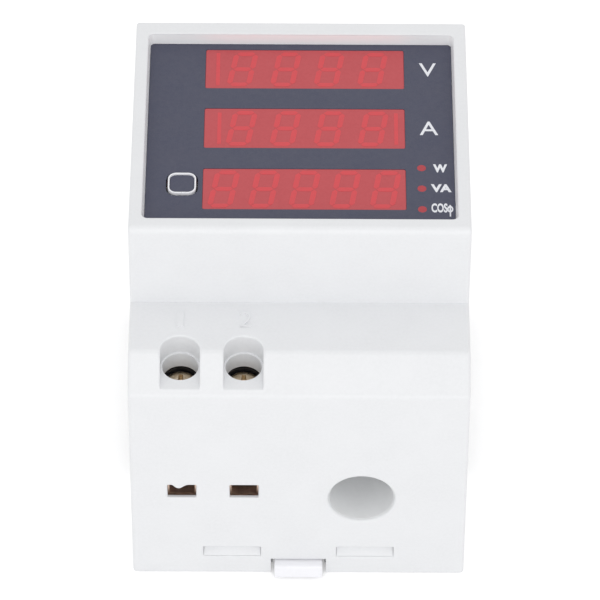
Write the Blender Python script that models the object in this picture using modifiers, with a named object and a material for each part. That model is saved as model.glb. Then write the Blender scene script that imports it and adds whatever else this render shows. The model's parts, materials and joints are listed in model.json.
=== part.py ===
"""A three-module DIN rail energy meter with three rows of red digits, two screw terminals and a
cable hole for the measured conductor.

Metres, +Z up. The meter lies on its back: Z runs from the rail side (0) to the display, X runs along
the rail, and Y runs from the terminal end (-Y) to the far end (+Y). The origin is in the middle of
the back.
"""

import math

import bmesh
import bpy
from mathutils import Matrix, Vector

# Clearances
GAP = 0.0003  # between neighbours that touch on the real meter
PANE_GAP = 0.00015  # round the red panes in the dark panel
OVERCUT = 0.001  # how far a cutter runs past the face that it opens
BITE = 0.0004  # how far a rib or boss runs into the wall that carries it

# Case
CASE_WIDTH = 0.053
CASE_LENGTH = 0.079
CASE_DEPTH = 0.062
WALL = 0.002
EDGE_RADIUS = 0.0005
FINE_EDGE = 0.0003
SHARP_ANGLE = math.radians(30)
DISPLAY_BLOCK_SHARE = 47.1 / 79  # of the case's length
SHOULDER_SHARE = 46 / 62  # of the case's depth
SLOPE_RUN = 0.00545
SLOPE_DROP = 0.0045

# Front panel
RIM_SIDE = 0.0019
RIM_END = 0.00235
RECESS_DRAFT = 0.0003  # how far each wall of the recess leans in on its way down to the panel
PANEL_CORNER = 0.0006
PANEL_RECESS = 0.00215
PANEL_THICKNESS = 0.0008
FILTER_THICKNESS = 0.001
PANE_INSET = 0.0001
FRONT_WALL = 0.0015

# Windows: they fill the recess's floor up to these bands
KEY_BAND = 0.00915
MARK_BAND = 0.00785
TOP_BAND = 0.0016
FOOT_BAND = 0.004
WINDOW_GAP = 0.0046
WINDOW_CORNER = 0.0003

# Indicators
LED_MARGIN = 0.00245
LED_OFFSET_Y = 0.0002
LED_PITCH = 0.00455
LED_TIP_DIAMETER = 0.0014
LED_BODY_DIAMETER = 0.0024
LED_FLANGE_DIAMETER = 0.003
LED_FLANGE_HEIGHT = 0.0009
LED_DOME = 0.00035

# Key
KEY_MARGIN = 0.0032
KEY_OFFSET_Y = 0.00095
KEY_WIDTH = 0.0044
KEY_LENGTH = 0.0045
KEY_CORNER = 0.0013
KEY_PROUD = 0.00035
KEY_RING = 0.0004
KEY_DISH = 0.00015
KEY_FLANGE = 0.0008
KEY_FLANGE_HEIGHT = 0.0009
KEY_STEM_DIAMETER = 0.0024
KEY_TRAVEL = 0.00025
SWITCH_SIZE = 0.0045
SWITCH_HEIGHT = 0.0035
PLUNGER_DIAMETER = 0.0026
PLUNGER_HEIGHT = 0.0022
PLUNGER_SUNK = 0.0009

# Display modules and boards
MODULE_SIDE = 0.0004
MODULE_PAST_WINDOW = 0.0014
MODULE_DEPTH = 0.007
MODULE_SHELL = 0.001
BOARD_THICKNESS = 0.0016
BOARD_MARGIN = 0.0012
BOARD_CORNER = 0.0015
MAIN_BOARD_FRONT = 0.0109  # from the terminal end
MAIN_BOARD_BACK = 0.0062  # from the far end
BOSS_DIAMETER = 0.0042
BOSS_INSET_X = 0.0023
BOSS_INSET_Y = 0.0026
BOSS_PAST_LEDS = 0.0055
BOARD_SCREW_DIAMETER = 0.002
BOARD_SCREW_HEAD = 0.0038
BOARD_SCREW_HEAD_HEIGHT = 0.0013
HEAD_CROWN = 0.7  # of the head's radius
BOARD_SCREW_LENGTH = 0.0055

# Terminals
POLE_PITCH_SHARE = 9.8 / 53  # of the case's width
WELL_INSET = 0.0057
WELL_DIAMETER = 0.0056
WELL_DEPTH = 0.0032
POCKET_WIDTH = 0.0061
POCKET_DEPTH = 0.0034
TERMINAL_SIDE_GAP = 0.0008  # between the block and the side wall
TERMINAL_SIDE_WALL = 0.0022
TERMINAL_FLOOR = 0.0017
TERMINAL_BLOCK_LENGTH = 0.008
TERMINAL_BACK_WALL = 0.0008
SCREW_DIAMETER = 0.0035
SCREW_PITCH = 0.0006
SCREW_TURNS = 4
SCREW_HEAD_DIAMETER = 0.005
SCREW_HEAD_HEIGHT = 0.002
SCREW_HEAD_DROP = 0.0007  # below the foot of the well
CROSS_ARM = 0.0031
CROSS_WIDTH = 0.0008
CROSS_TAPER = 0.8
CROSS_DEPTH = 0.0011
WIRE_SLOT_WIDTH = 0.0045
WIRE_SLOT_HEIGHT = 0.0029
WIRE_SLOT_SHARE = 18.1 / 46  # of the shoulder's height
WIRE_SLOT_SKIN = 0.0006
CAGE_WIDTH = 0.0056
CAGE_SIDE = 0.0008
CAGE_FLOOR = 0.0014
CAGE_ROOF = 0.0018
CAGE_OPENING = 0.0064
CONTACT_WIDTH = 0.0032
CONTACT_THICKNESS = 0.0012
CONTACT_TAIL = 0.0014  # stands above the main board
CONTACT_WEB = 0.001  # of the main board, in front of the tail

# Cable hole and current transformer
CABLE_HOLE = 0.0102
CABLE_OFFSET_X = 0.0007  # from the middle of the room beside the terminals
CABLE_HOLE_LIP = 0.0006
SLEEVE_WALL = 0.001
CORE_WALL = 0.0038
CORE_LENGTH = 0.01
CORE_ROUNDING = 0.001
CORE_Y = 0.004
CORE_OVER_SEAT = 0.0007
CORE_TO_BOARD = 0.0021
SADDLE_THICKNESS = 0.002
SADDLE_INSET = 0.012
LEAD_DIAMETER = 0.001
LEAD_SPREAD = 0.007
LEAD_SOLDER = 0.0012

# Rail side
RAIL_WIDTH = 0.035
RAIL_LIP = 0.001
RAIL_PLAY = 0.0005
SEAT_Z = 0.005
SEAT_RELIEF = 0.0004
SEAT_RELIEF_WIDTH = 0.0026
SEAT_RELIEF_FALL = 0.0001  # the relief deepens by this towards the channel's wall
COVER_THICKNESS = 0.002
HOOK_REACH = 0.0012
HOOK_WIDTH = 0.036
HOOK_FOOT = 0.0009
SNAP_X = 0.0106
SNAP_WIDTH = 0.0091
SNAP_HEIGHT = 0.0023
SNAP_Z = 0.004
SNAP_TONGUE = 0.0013
SNAP_REACH = 0.0012
SNAP_STEP = 0.0001  # from the cover's end in to the tongue
STOP_HEIGHT = 0.007

# Rail clip
CLIP_WIDTH = 0.0077
CLIP_THICKNESS = 0.00275
CLIP_FOOT = 0.00045
CLIP_TAB = 0.00145
CLIP_TRAVEL = 0.0035
CLIP_FLANGE = 0.0015
CLIP_FLANGE_THICKNESS = 0.001
CLIP_NOSE = 0.0023
CLIP_NOTCH_SIDE = 0.00055
CLIP_GUIDE_WALL = 0.0017
CLIP_GUIDE_ROOF = 0.0015
GROOVE_END = 0.001
SPRING_DIAMETER = 0.0025
SPRING_WIRE = 0.0004
SPRING_LENGTH = 0.0074
SPRING_TURNS = 7
SPRING_STOP = 0.0015

# Parts on the boards: shares of the board's half width, and places from the main board's front
ROOM_OVER_PARTS = 0.00345
FILM_CAPACITOR_SHARE = 18 / 23
FILM_CAPACITOR_WIDTH = 0.0085
FILM_CAPACITOR_EDGE = 0.05  # of its height
FILM_CAPACITOR_X_SHARE = -11 / 23
FILM_CAPACITOR_BACK = 0.0196
ELECTROLYTIC_DIAMETER = 0.008
ELECTROLYTIC_CRIMP = 0.035  # of its height
ELECTROLYTIC_GROOVE = 0.175  # of its height
ELECTROLYTIC_X_SHARE = 10.5 / 23
ELECTROLYTIC_BACK = 0.0161
VARISTOR_SHARE = 0.6  # of the room between the boards
VARISTOR_THICKNESS = 0.004
VARISTOR_BACK = 0.0096
CHIP_LENGTH = 0.0103
CHIP_WIDTH = 0.0075
CHIP_HEIGHT = 0.0023
CHIP_LEGS = 8
CHIP_LEG_REACH = 0.0014
CHIP_LEG_THICKNESS = 0.0003
CHIP_X_SHARE = 9 / 23
MEASURING_CHIP_TO_HEADER = 0.0068
DRIVER_CHIP_Y = 0.006
FUSE_DIAMETER = 0.0034
FUSE_LENGTH = 0.009
FUSE_END_LENGTH = 0.0022
FUSE_WAIST = 0.85  # of the ends' radius
FUSE_BESIDE_CAN = 0.007
FUSE_BACK = 0.0151
HEADER_PINS = 8
HEADER_PITCH = 0.0025
HEADER_BASE = 0.0025
HEADER_PIN = 0.00064

# Places that follow from the sizes above
END_Y = CASE_LENGTH / 2
SIDE_X = CASE_WIDTH / 2
BLOCK_Y = CASE_LENGTH * DISPLAY_BLOCK_SHARE / 2
SHOULDER_Z = CASE_DEPTH * SHOULDER_SHARE
PANEL_TOP = CASE_DEPTH - PANEL_RECESS
PANEL_FOOT = PANEL_TOP - PANEL_THICKNESS
FILTER_TOP = PANEL_FOOT - GAP
FILTER_FOOT = FILTER_TOP - FILTER_THICKNESS
WALL_TOP = FILTER_FOOT - GAP
WALL_FOOT = WALL_TOP - FRONT_WALL
MODULE_TOP = WALL_FOOT - GAP
MODULE_FOOT = MODULE_TOP - MODULE_DEPTH
DISPLAY_BOARD_TOP = MODULE_FOOT - GAP
DISPLAY_BOARD_FOOT = DISPLAY_BOARD_TOP - BOARD_THICKNESS
RECESS_WIDTH = CASE_WIDTH - 2 * (RIM_SIDE + RECESS_DRAFT)
RECESS_LENGTH = 2 * (BLOCK_Y - RIM_END - RECESS_DRAFT)
WINDOW_WIDTH = RECESS_WIDTH - KEY_BAND - MARK_BAND
WINDOW_HEIGHT = (RECESS_LENGTH - TOP_BAND - FOOT_BAND - 2 * WINDOW_GAP) / 3
WINDOWS_X = (KEY_BAND - MARK_BAND) / 2
MIDDLE_WINDOW_Y = (FOOT_BAND - TOP_BAND) / 2
WINDOW_PITCH = WINDOW_HEIGHT + WINDOW_GAP
WINDOW_YS = [MIDDLE_WINDOW_Y + WINDOW_PITCH * step for step in (1, 0, -1)]
MODULE_HEIGHT = WINDOW_HEIGHT + 2 * MODULE_PAST_WINDOW
DISPLAY_BOARD_Y = BLOCK_Y - WALL - GAP
MAIN_FRONT_Y = MAIN_BOARD_FRONT - END_Y
MAIN_BACK_Y = END_Y - MAIN_BOARD_BACK
LED_X = WINDOWS_X + WINDOW_WIDTH / 2 + LED_MARGIN
LED_YS = [WINDOW_YS[2] + LED_OFFSET_Y + LED_PITCH * step for step in (1, 0, -1)]
KEY_X = WINDOWS_X - WINDOW_WIDTH / 2 - KEY_MARGIN
KEY_Y = WINDOW_YS[2] + KEY_OFFSET_Y
POLE_PITCH = CASE_WIDTH * POLE_PITCH_SHARE
TERMINAL_BLOCK_WIDTH = POLE_PITCH + CAGE_WIDTH + 2 * (GAP + TERMINAL_SIDE_WALL)
TERMINALS_X = WALL + TERMINAL_SIDE_GAP + TERMINAL_BLOCK_WIDTH / 2 - SIDE_X
POLE_XS = [TERMINALS_X + POLE_PITCH * step for step in (-0.5, 0.5)]
WIRE_SLOT_Z = SHOULDER_Z * WIRE_SLOT_SHARE
WELL_Y = WELL_INSET - END_Y
POCKET_FLOOR = SHOULDER_Z - POCKET_DEPTH
WELL_FOOT = POCKET_FLOOR - WELL_DEPTH
TERMINAL_FRONT = WALL + GAP - END_Y
TERMINAL_BACK = TERMINAL_FRONT + TERMINAL_BLOCK_LENGTH
TERMINAL_TOP = WELL_FOOT - GAP
SCREW_TOP = WELL_FOOT - SCREW_HEAD_DROP
SCREW_SHOULDER = SCREW_TOP - SCREW_HEAD_HEIGHT
CAGE_TRAVEL = SCREW_PITCH * SCREW_TURNS
CAGE_FLOOR_TOP = WIRE_SLOT_Z - GAP / 3
CAGE_ROOF_FOOT = CAGE_FLOOR_TOP + CAGE_OPENING
CHAMBER_FOOT = CAGE_FLOOR_TOP - CAGE_FLOOR - GAP
CHAMBER_TOP = CAGE_ROOF_FOOT + CAGE_ROOF + CAGE_TRAVEL + GAP
TERMINAL_BLOCK_FOOT = CHAMBER_FOOT - TERMINAL_FLOOR
CONTACT_FOOT = WIRE_SLOT_Z + WIRE_SLOT_HEIGHT + GAP / 3
CONTACT_TOP = CONTACT_FOOT + CONTACT_THICKNESS
SLEEVE_RADIUS = CABLE_HOLE / 2 + SLEEVE_WALL
CORE_RADIUS = SLEEVE_RADIUS + GAP + CORE_WALL
CHANNEL_Y = RAIL_WIDTH / 2 + RAIL_PLAY
SEAT_TOP = SEAT_Z + COVER_THICKNESS
CABLE_X = (TERMINALS_X + TERMINAL_BLOCK_WIDTH / 2 + SIDE_X - WALL) / 2 - CABLE_OFFSET_X
CABLE_Z = SEAT_TOP + CORE_OVER_SEAT + CORE_RADIUS
MAIN_BOARD_Z = CABLE_Z + CORE_RADIUS + CORE_TO_BOARD
MAIN_BOARD_TOP = MAIN_BOARD_Z + BOARD_THICKNESS
HOOK_TIP_Y = RAIL_WIDTH / 2 - HOOK_REACH
HOOK_TOP = SEAT_Z - RAIL_LIP - GAP
COVER_Y = END_Y - WALL - GAP
COVER_X = SIDE_X - WALL - GAP
CLIP_TOP = CLIP_FOOT + CLIP_THICKNESS
CLIP_NOTCH_TOP = CLIP_TOP + GAP
CLIP_TIP_Y = -HOOK_TIP_Y
CLIP_TAB_Y = -END_Y - CLIP_TAB
WINDOW_LENGTH = GAP + SPRING_STOP + GAP + SPRING_LENGTH + GAP
CLIP_FLANGE_X = CLIP_WIDTH / 2 + CLIP_FLANGE
CLIP_MIDDLE_Z = CLIP_FOOT + CLIP_THICKNESS / 2
GUIDE_X = CLIP_FLANGE_X + GAP + CLIP_GUIDE_WALL
GROOVE_START_Y = GROOVE_END - COVER_Y
CLIP_FLANGE_START_Y = GROOVE_START_Y + GAP + CLIP_TRAVEL
SPRING_WINDOW_Y = CLIP_FLANGE_START_Y - WALL
BOARD_X = COVER_X - BOARD_MARGIN
BOSS_X = BOARD_X - BOSS_INSET_X
# One boss of each board makes way, for the indicators and for the contact bars
DISPLAY_BOSSES = [
    (-BOSS_X, BOSS_INSET_Y - DISPLAY_BOARD_Y),
    (BOSS_X, LED_YS[0] + BOSS_PAST_LEDS),
    (-BOSS_X, DISPLAY_BOARD_Y - BOSS_INSET_Y),
    (BOSS_X, DISPLAY_BOARD_Y - BOSS_INSET_Y),
]
MAIN_BOSSES = [
    (TERMINALS_X, MAIN_FRONT_Y + BOSS_INSET_Y),
    (BOSS_X, MAIN_FRONT_Y + BOSS_INSET_Y),
    (-BOSS_X, MAIN_BACK_Y - BOSS_INSET_Y),
    (BOSS_X, MAIN_BACK_Y - BOSS_INSET_Y),
]
LEAD_XS = [CABLE_X + side * LEAD_SPREAD / 2 for side in (-1, 1)]
BOARD_SPACE = DISPLAY_BOARD_FOOT - MAIN_BOARD_TOP
CAPACITOR_HEIGHT = BOARD_SPACE - ROOM_OVER_PARTS
ELECTROLYTIC_X = BOARD_X * ELECTROLYTIC_X_SHARE
HEADER_Y = DISPLAY_BOARD_Y - BOSS_INSET_Y

WHITE = ("white_abs", (236, 236, 238), 0.42, 0.0)
CLIP_WHITE = ("clip_white", (246, 246, 250), 0.45, 0.0)
DARK_PANEL = ("dark_panel", (62, 64, 78), 0.35, 0.0)
RED_ACRYLIC = ("red_acrylic", (190, 52, 56), 0.25, 0.0)
RED_LENS = ("red_lens", (176, 34, 38), 0.3, 0.0)
BLACK_RESIN = ("black_resin", (38, 38, 40), 0.5, 0.0)
BOARD_GREEN = ("board_green", (34, 92, 58), 0.45, 0.0)
STEEL = ("plated_steel", (150, 140, 122), 0.3, 1.0)
BRASS = ("brass", (178, 132, 92), 0.35, 1.0)
COPPER = ("tinned_copper", (186, 120, 88), 0.35, 1.0)
YELLOW_FILM = ("yellow_film", (214, 182, 70), 0.5, 0.0)
BLUE_SLEEVE = ("blue_sleeve", (44, 70, 128), 0.4, 0.0)
FERRITE = ("black_coating", (46, 48, 52), 0.6, 0.0)


def clear_scene():
    for obj in list(bpy.data.objects):
        bpy.data.objects.remove(obj, do_unlink=True)


def new_collection(name):
    collection = bpy.data.collections.new(name)
    bpy.context.scene.collection.children.link(collection)
    return collection


def linear(channel):
    """An sRGB channel, 0 to 255, as the linear value that a shader takes."""
    value = channel / 255
    return value / 12.92 if value <= 0.04045 else ((value + 0.055) / 1.055) ** 2.4


def material_named(name, colour, roughness, metallic):
    found = bpy.data.materials.get(name)
    if found:
        return found
    material = bpy.data.materials.new(name)
    material.use_nodes = True
    shader = material.node_tree.nodes["Principled BSDF"]
    shader.inputs["Base Color"].default_value = (*[linear(channel) for channel in colour], 1)
    shader.inputs["Roughness"].default_value = roughness
    shader.inputs["Metallic"].default_value = metallic
    return material


clear_scene()
PARTS = new_collection("din_rail_energy_meter")
HELPERS = new_collection("cutters_and_helpers")


def new_object(name, mesh):
    """A shape starts as a helper, which a render leaves out. finish() makes it a part."""
    obj = bpy.data.objects.new(name, mesh)
    HELPERS.objects.link(obj)
    obj.hide_render = True
    obj.display_type = "WIRE"
    return obj


def finish(obj, name, finish_values, origin=None):
    """Makes the shape a part: its name, its material and, on a moving part, its origin."""
    HELPERS.objects.unlink(obj)
    PARTS.objects.link(obj)
    obj.hide_render = False
    obj.display_type = "TEXTURED"
    obj.name = name
    obj.data.name = name
    obj.data.materials.clear()
    obj.data.materials.append(material_named(*finish_values))
    obj.data.shade_smooth()
    obj.data.set_sharp_from_angle(angle=SHARP_ANGLE)
    if origin:
        obj.data.transform(Matrix.Translation(-Vector(origin)))
        obj.location = origin
    return obj


def object_from(name, bm):
    mesh = bpy.data.meshes.new(name)
    bm.to_mesh(mesh)
    bm.free()
    return new_object(name, mesh)


def box(name, x, y, z):
    """A block between two values on each axis."""
    bm = bmesh.new()
    bmesh.ops.create_cube(bm, size=1)
    size = [high - low for low, high in (x, y, z)]
    middle = [(high + low) / 2 for low, high in (x, y, z)]
    bmesh.ops.scale(bm, vec=size, verts=bm.verts)
    bmesh.ops.translate(bm, vec=middle, verts=bm.verts)
    return object_from(name, bm)


# Local axes of a flat outline, as world axes: the outline's two, then the way that it is extruded
PLANES = {
    "Z": Matrix(((1, 0, 0), (0, 1, 0), (0, 0, 1))).to_4x4(),
    "X": Matrix(((0, 0, 1), (1, 0, 0), (0, 1, 0))).to_4x4(),
    "Y": Matrix(((1, 0, 0), (0, 0, -1), (0, 1, 0))).to_4x4(),
}


def extruded(name, outline, span, axis):
    """A flat outline carried along an axis. It is in (x, y) for Z, (y, z) for X and (x, z) for Y."""
    curve = bpy.data.curves.new(name, "CURVE")
    curve.dimensions = "2D"
    curve.fill_mode = "BOTH"
    curve.extrude = (span[1] - span[0]) / 2
    spline = curve.splines.new("POLY")
    spline.points.add(len(outline) - 1)
    for point, (first, second) in zip(spline.points, outline):
        point.co = (first, second, 0, 1)
    spline.use_cyclic_u = True
    guide = bpy.data.objects.new(name, curve)
    HELPERS.objects.link(guide)
    graph = bpy.context.evaluated_depsgraph_get()
    mesh = bpy.data.meshes.new_from_object(guide.evaluated_get(graph))
    bpy.data.objects.remove(guide)
    bpy.data.curves.remove(curve)
    middle = (span[0] + span[1]) / 2
    shift = Vector([middle if letter == axis else 0 for letter in "XYZ"])
    bm = bmesh.new()
    bm.from_mesh(mesh)
    bpy.data.meshes.remove(mesh)
    bmesh.ops.remove_doubles(bm, verts=bm.verts, dist=1e-6)
    bmesh.ops.recalc_face_normals(bm, faces=bm.faces)
    bmesh.ops.dissolve_limit(bm, angle_limit=0.01, verts=bm.verts, edges=bm.edges)
    bmesh.ops.transform(bm, matrix=Matrix.Translation(shift) @ PLANES[axis], verts=bm.verts)
    return object_from(name, bm)


def turned(name, profile, location, axis="Z", steps=32, ring=False):
    """A profile of (radius, height) turned about an axis through location, from its top down."""
    mesh = bpy.data.meshes.new(name)
    edges = [(index, index + 1) for index in range(len(profile) - 1)]
    if ring:
        edges.append((len(profile) - 1, 0))
    mesh.from_pydata([(radius, 0, height) for radius, height in profile], edges, [])
    obj = new_object(name, mesh)
    obj.location = location
    if axis == "Y":
        obj.rotation_euler = (-math.pi / 2, 0, 0)
    screw = obj.modifiers.new("Turn", "SCREW")
    screw.axis = "Z"
    screw.steps = steps
    screw.render_steps = steps
    screw.use_merge_vertices = True
    screw.merge_threshold = 1e-6
    return obj


def round_bar(name, diameter, x, y, z, steps=24):
    """A cylinder along Z or Y: two of the three places are numbers and the third a (low, high)."""
    along_y = isinstance(y, tuple)
    low, high = y if along_y else z
    location = (x, (low + high) / 2, z) if along_y else (x, y, (low + high) / 2)
    radius = diameter / 2
    half = (high - low) / 2
    profile = [(0, half), (radius, half), (radius, -half), (0, -half)]
    return turned(name, profile, location, "Y" if along_y else "Z", steps)


def combine(target, operation, shapes):
    for shape in shapes:
        boolean = target.modifiers.new(f"{operation.title()} {shape.name}", "BOOLEAN")
        boolean.operation = operation
        boolean.object = shape
        boolean.solver = "EXACT"
    return target


def cut(target, *shapes):
    return combine(target, "DIFFERENCE", shapes)


def fuse(target, *shapes):
    return combine(target, "UNION", shapes)


def soften(obj, width):
    bevel = obj.modifiers.new("Soften", "BEVEL")
    bevel.width = width
    bevel.segments = 2
    bevel.limit_method = "ANGLE"
    bevel.angle_limit = SHARP_ANGLE
    return obj


def arc(centre, radius, start, end, steps):
    """Points on an arc, in degrees, both ends included."""
    angles = [math.radians(start + (end - start) * step / steps) for step in range(steps + 1)]
    return [(centre[0] + radius * math.cos(a), centre[1] + radius * math.sin(a)) for a in angles]


def rounded_rectangle(x, y, width, height, radius, steps=4):
    corners = ((1, 1, 0), (-1, 1, 90), (-1, -1, 180), (1, -1, 270))
    points = []
    for side, end, start in corners:
        centre = (x + side * (width / 2 - radius), y + end * (height / 2 - radius))
        points += arc(centre, radius, start, start + 90, steps)
    return points


def inset(outline, distance):
    """A counter-clockwise outline moved inwards, each edge by the same distance."""
    moved = []
    for index, here in enumerate(outline):
        before = Vector(outline[index - 1])
        here = Vector(here)
        after = Vector(outline[(index + 1) % len(outline)])
        into = (here - before).normalized()
        out = (after - here).normalized()
        normal_in = Vector((-into.y, into.x))
        normal_out = Vector((-out.y, out.x))
        bisector = (normal_in + normal_out).normalized()
        moved.append(tuple(here + bisector * (distance / bisector.dot(normal_in))))
    return moved


def side_outline():
    """The case seen from its side, in (y, z), counter-clockwise from the foot of the terminal end."""
    slope_foot = SHOULDER_Z - SLOPE_DROP
    right = [
        (END_Y, 0),
        (END_Y, slope_foot),
        (END_Y - SLOPE_RUN, SHOULDER_Z),
        (BLOCK_Y, SHOULDER_Z),
        (BLOCK_Y, CASE_DEPTH),
    ]
    return right + [(-y, z) for y, z in reversed(right)]


def case_block():
    """The case's outer form, with its outer edges rounded and the feet of its risers left sharp."""
    block = extruded("Case block", side_outline(), (-SIDE_X, SIDE_X), "X")
    bm = bmesh.new()
    bm.from_mesh(block.data)

    def is_riser_foot(edge):
        middle = (edge.verts[0].co + edge.verts[1].co) / 2
        on_foot = abs(abs(middle.y) - BLOCK_Y) < 1e-5 and abs(middle.z - SHOULDER_Z) < 1e-5
        return on_foot and abs(middle.x) < 1e-5

    rounded = [edge for edge in bm.edges if not is_riser_foot(edge)]
    bmesh.ops.bevel(
        bm,
        geom=rounded,
        offset=EDGE_RADIUS,
        offset_type="OFFSET",
        segments=3,
        profile=0.5,
        affect="EDGES",
        clamp_overlap=True,
    )
    bm.to_mesh(block.data)
    bm.free()
    return block


def case_cavity():
    """The hollow behind the walls, open at the back and ending under the front wall."""
    inner = inset(side_outline(), WALL)
    outline = []
    for y, z in inner:
        if z < WALL * 2:
            z = -OVERCUT
        outline.append((y, min(z, WALL_FOOT)))
    return extruded("Cavity", outline, (WALL - SIDE_X, SIDE_X - WALL), "X")


def terminal_roof():
    """The thick roof over the terminals, which the screw wells go through."""
    half_wall = inset(side_outline(), WALL / 2)
    slope_top, slope_foot = half_wall[-2], half_wall[-1]
    back = TERMINAL_BACK
    outline = [
        (slope_foot[0], WELL_FOOT),
        (back, WELL_FOOT),
        (back, slope_top[1]),
        slope_top,
        slope_foot,
    ]
    half = TERMINAL_BLOCK_WIDTH / 2
    return extruded("Terminal roof", outline, (TERMINALS_X - half, TERMINALS_X + half), "X")


def bosses(label, places, foot, ceiling):
    return [
        round_bar(f"{label} boss {index}", BOSS_DIAMETER, x, y, (foot, ceiling + BITE), 16)
        for index, (x, y) in enumerate(places, 1)
    ]


def boss_bores(label, places, foot):
    """Pilot holes for the screws, open at the foot of each boss."""
    top = foot + BOARD_SCREW_LENGTH
    bore = BOARD_SCREW_DIAMETER + 2 * GAP
    return [
        round_bar(f"{label} bore {index}", bore, x, y, (foot - OVERCUT, top), 12)
        for index, (x, y) in enumerate(places, 1)
    ]


def cover_stops():
    """Ribs on the side walls that the rear cover comes up against."""
    stops = []
    foot = COVER_THICKNESS + GAP
    y = (CHANNEL_Y + COVER_Y) / 2
    for side in (-1, 1):
        for end in (-1, 1):
            inner = side * (SIDE_X - WALL - BOARD_MARGIN + GAP)
            outer = side * (SIDE_X - WALL + BITE)
            x = (min(inner, outer), max(inner, outer))
            middle = end * y
            y_span = (middle - WALL / 2, middle + WALL / 2)
            stops.append(box("Stop", x, y_span, (foot, foot + STOP_HEIGHT)))
    return stops


def screw_well(x):
    """The U-shaped pocket that runs out through the slope, and the round well in its floor."""
    radius = POCKET_WIDTH / 2
    outside = -END_Y - OVERCUT
    outline = arc((x, WELL_Y), radius, 0, 180, 16) + [(x - radius, outside), (x + radius, outside)]
    pocket = extruded("Pocket", outline, (POCKET_FLOOR, SHOULDER_Z + OVERCUT), "Z")
    well = round_bar("Well", WELL_DIAMETER, x, WELL_Y, (WELL_FOOT - OVERCUT, SHOULDER_Z))
    return pocket, well


def wire_slot(x):
    """The slot in the end face and the thinned wall behind it, which the clamp cage reaches into."""
    half = WIRE_SLOT_WIDTH / 2
    slot_z = (WIRE_SLOT_Z, WIRE_SLOT_Z + WIRE_SLOT_HEIGHT)
    slot = box("Wire slot", (x - half, x + half), (-END_Y - OVERCUT, WALL / 2 - END_Y), slot_z)
    half = CAGE_WIDTH / 2 + GAP
    y = (WIRE_SLOT_SKIN - END_Y, WALL + BITE - END_Y)
    return slot, box("Cage relief", (x - half, x + half), y, (CHAMBER_FOOT, CHAMBER_TOP))


def cable_bore():
    """The cable hole through both end walls, its outer edges rolled over."""
    radius = CABLE_HOLE / 2
    lip = CABLE_HOLE_LIP
    top = [(0, END_Y + OVERCUT), (radius + lip, END_Y + OVERCUT)]
    top += arc((radius + lip, END_Y - lip), lip, 90, 180, 4)
    profile = top + [(r, -y) for r, y in reversed(top)]
    return turned("Cable bore", profile, (CABLE_X, 0, CABLE_Z), "Y", 40)


def snap_windows():
    z = (SNAP_Z, SNAP_Z + SNAP_HEIGHT)
    windows = []
    for end in (-1, 1):
        y = sorted((end * (END_Y - WALL - BITE), end * (END_Y + OVERCUT)))
        for side in (-1, 1):
            x = (side * SNAP_X - SNAP_WIDTH / 2, side * SNAP_X + SNAP_WIDTH / 2)
            windows.append(box("Snap window", x, tuple(y), z))
    return windows


def panel_recess():
    """The recess in the front: upright round the panel, and leaning out from there to the rim."""
    levels = [(WALL_TOP, 0), (PANEL_TOP, 0), (CASE_DEPTH, RECESS_DRAFT)]
    levels.append((CASE_DEPTH + OVERCUT, RECESS_DRAFT))
    bm = bmesh.new()
    rings = []
    for z, spread in levels:
        ring = [bm.verts.new((x, y, z)) for x, y in panel_outline(-spread)]
        if rings:
            for index, vert in enumerate(ring):
                below = rings[-1]
                bm.faces.new((below[index - 1], below[index], vert, ring[index - 1]))
        rings.append(ring)
    bm.faces.new(reversed(rings[0]))
    bm.faces.new(rings[-1])
    return object_from("Panel recess", bm)


def key_opening(span):
    outline = rounded_rectangle(
        KEY_X, KEY_Y, KEY_WIDTH + 2 * GAP, KEY_LENGTH + 2 * GAP, KEY_CORNER + GAP
    )
    return extruded("Key opening", outline, span, "Z")


def led_holes(span):
    diameter = LED_TIP_DIAMETER + 2 * GAP
    return [round_bar("Lens hole", diameter, LED_X, y, span, 16) for y in LED_YS]


def rail_notch():
    """The way for the rail through both side walls."""
    x = (-SIDE_X - OVERCUT, SIDE_X + OVERCUT)
    return box("Rail notch", x, (-CHANNEL_Y, CHANNEL_Y), (-OVERCUT, SEAT_Z))


def clip_notch():
    half = CLIP_WIDTH / 2 + CLIP_NOTCH_SIDE
    y = (-END_Y - OVERCUT, WALL + BITE - END_Y)
    return box("Clip notch", (-half, half), y, (-OVERCUT, CLIP_NOTCH_TOP))


def housing():
    """The moulded case: one shell, open at the back."""
    shell = cut(case_block(), case_cavity(), rail_notch(), clip_notch())
    fuse(shell, terminal_roof(), *cover_stops())
    fuse(shell, *bosses("Main", MAIN_BOSSES, MAIN_BOARD_TOP + GAP, SHOULDER_Z - WALL))
    fuse(shell, *bosses("Display", DISPLAY_BOSSES, DISPLAY_BOARD_TOP + GAP, WALL_FOOT))
    cut(shell, *boss_bores("Main", MAIN_BOSSES, MAIN_BOARD_TOP + GAP))
    cut(shell, *boss_bores("Display", DISPLAY_BOSSES, DISPLAY_BOARD_TOP + GAP))
    cut(shell, panel_recess())
    through = (WALL_FOOT - OVERCUT, WALL_TOP + OVERCUT)
    for y in WINDOW_YS:
        cut(shell, extruded("Display window", pane_outline(y, 0), through, "Z"))
    cut(shell, key_opening(through), *led_holes(through))
    for x in POLE_XS:
        cut(shell, *screw_well(x), *wire_slot(x))
    cut(shell, cable_bore(), *snap_windows())
    return finish(shell, "housing", WHITE)


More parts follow.
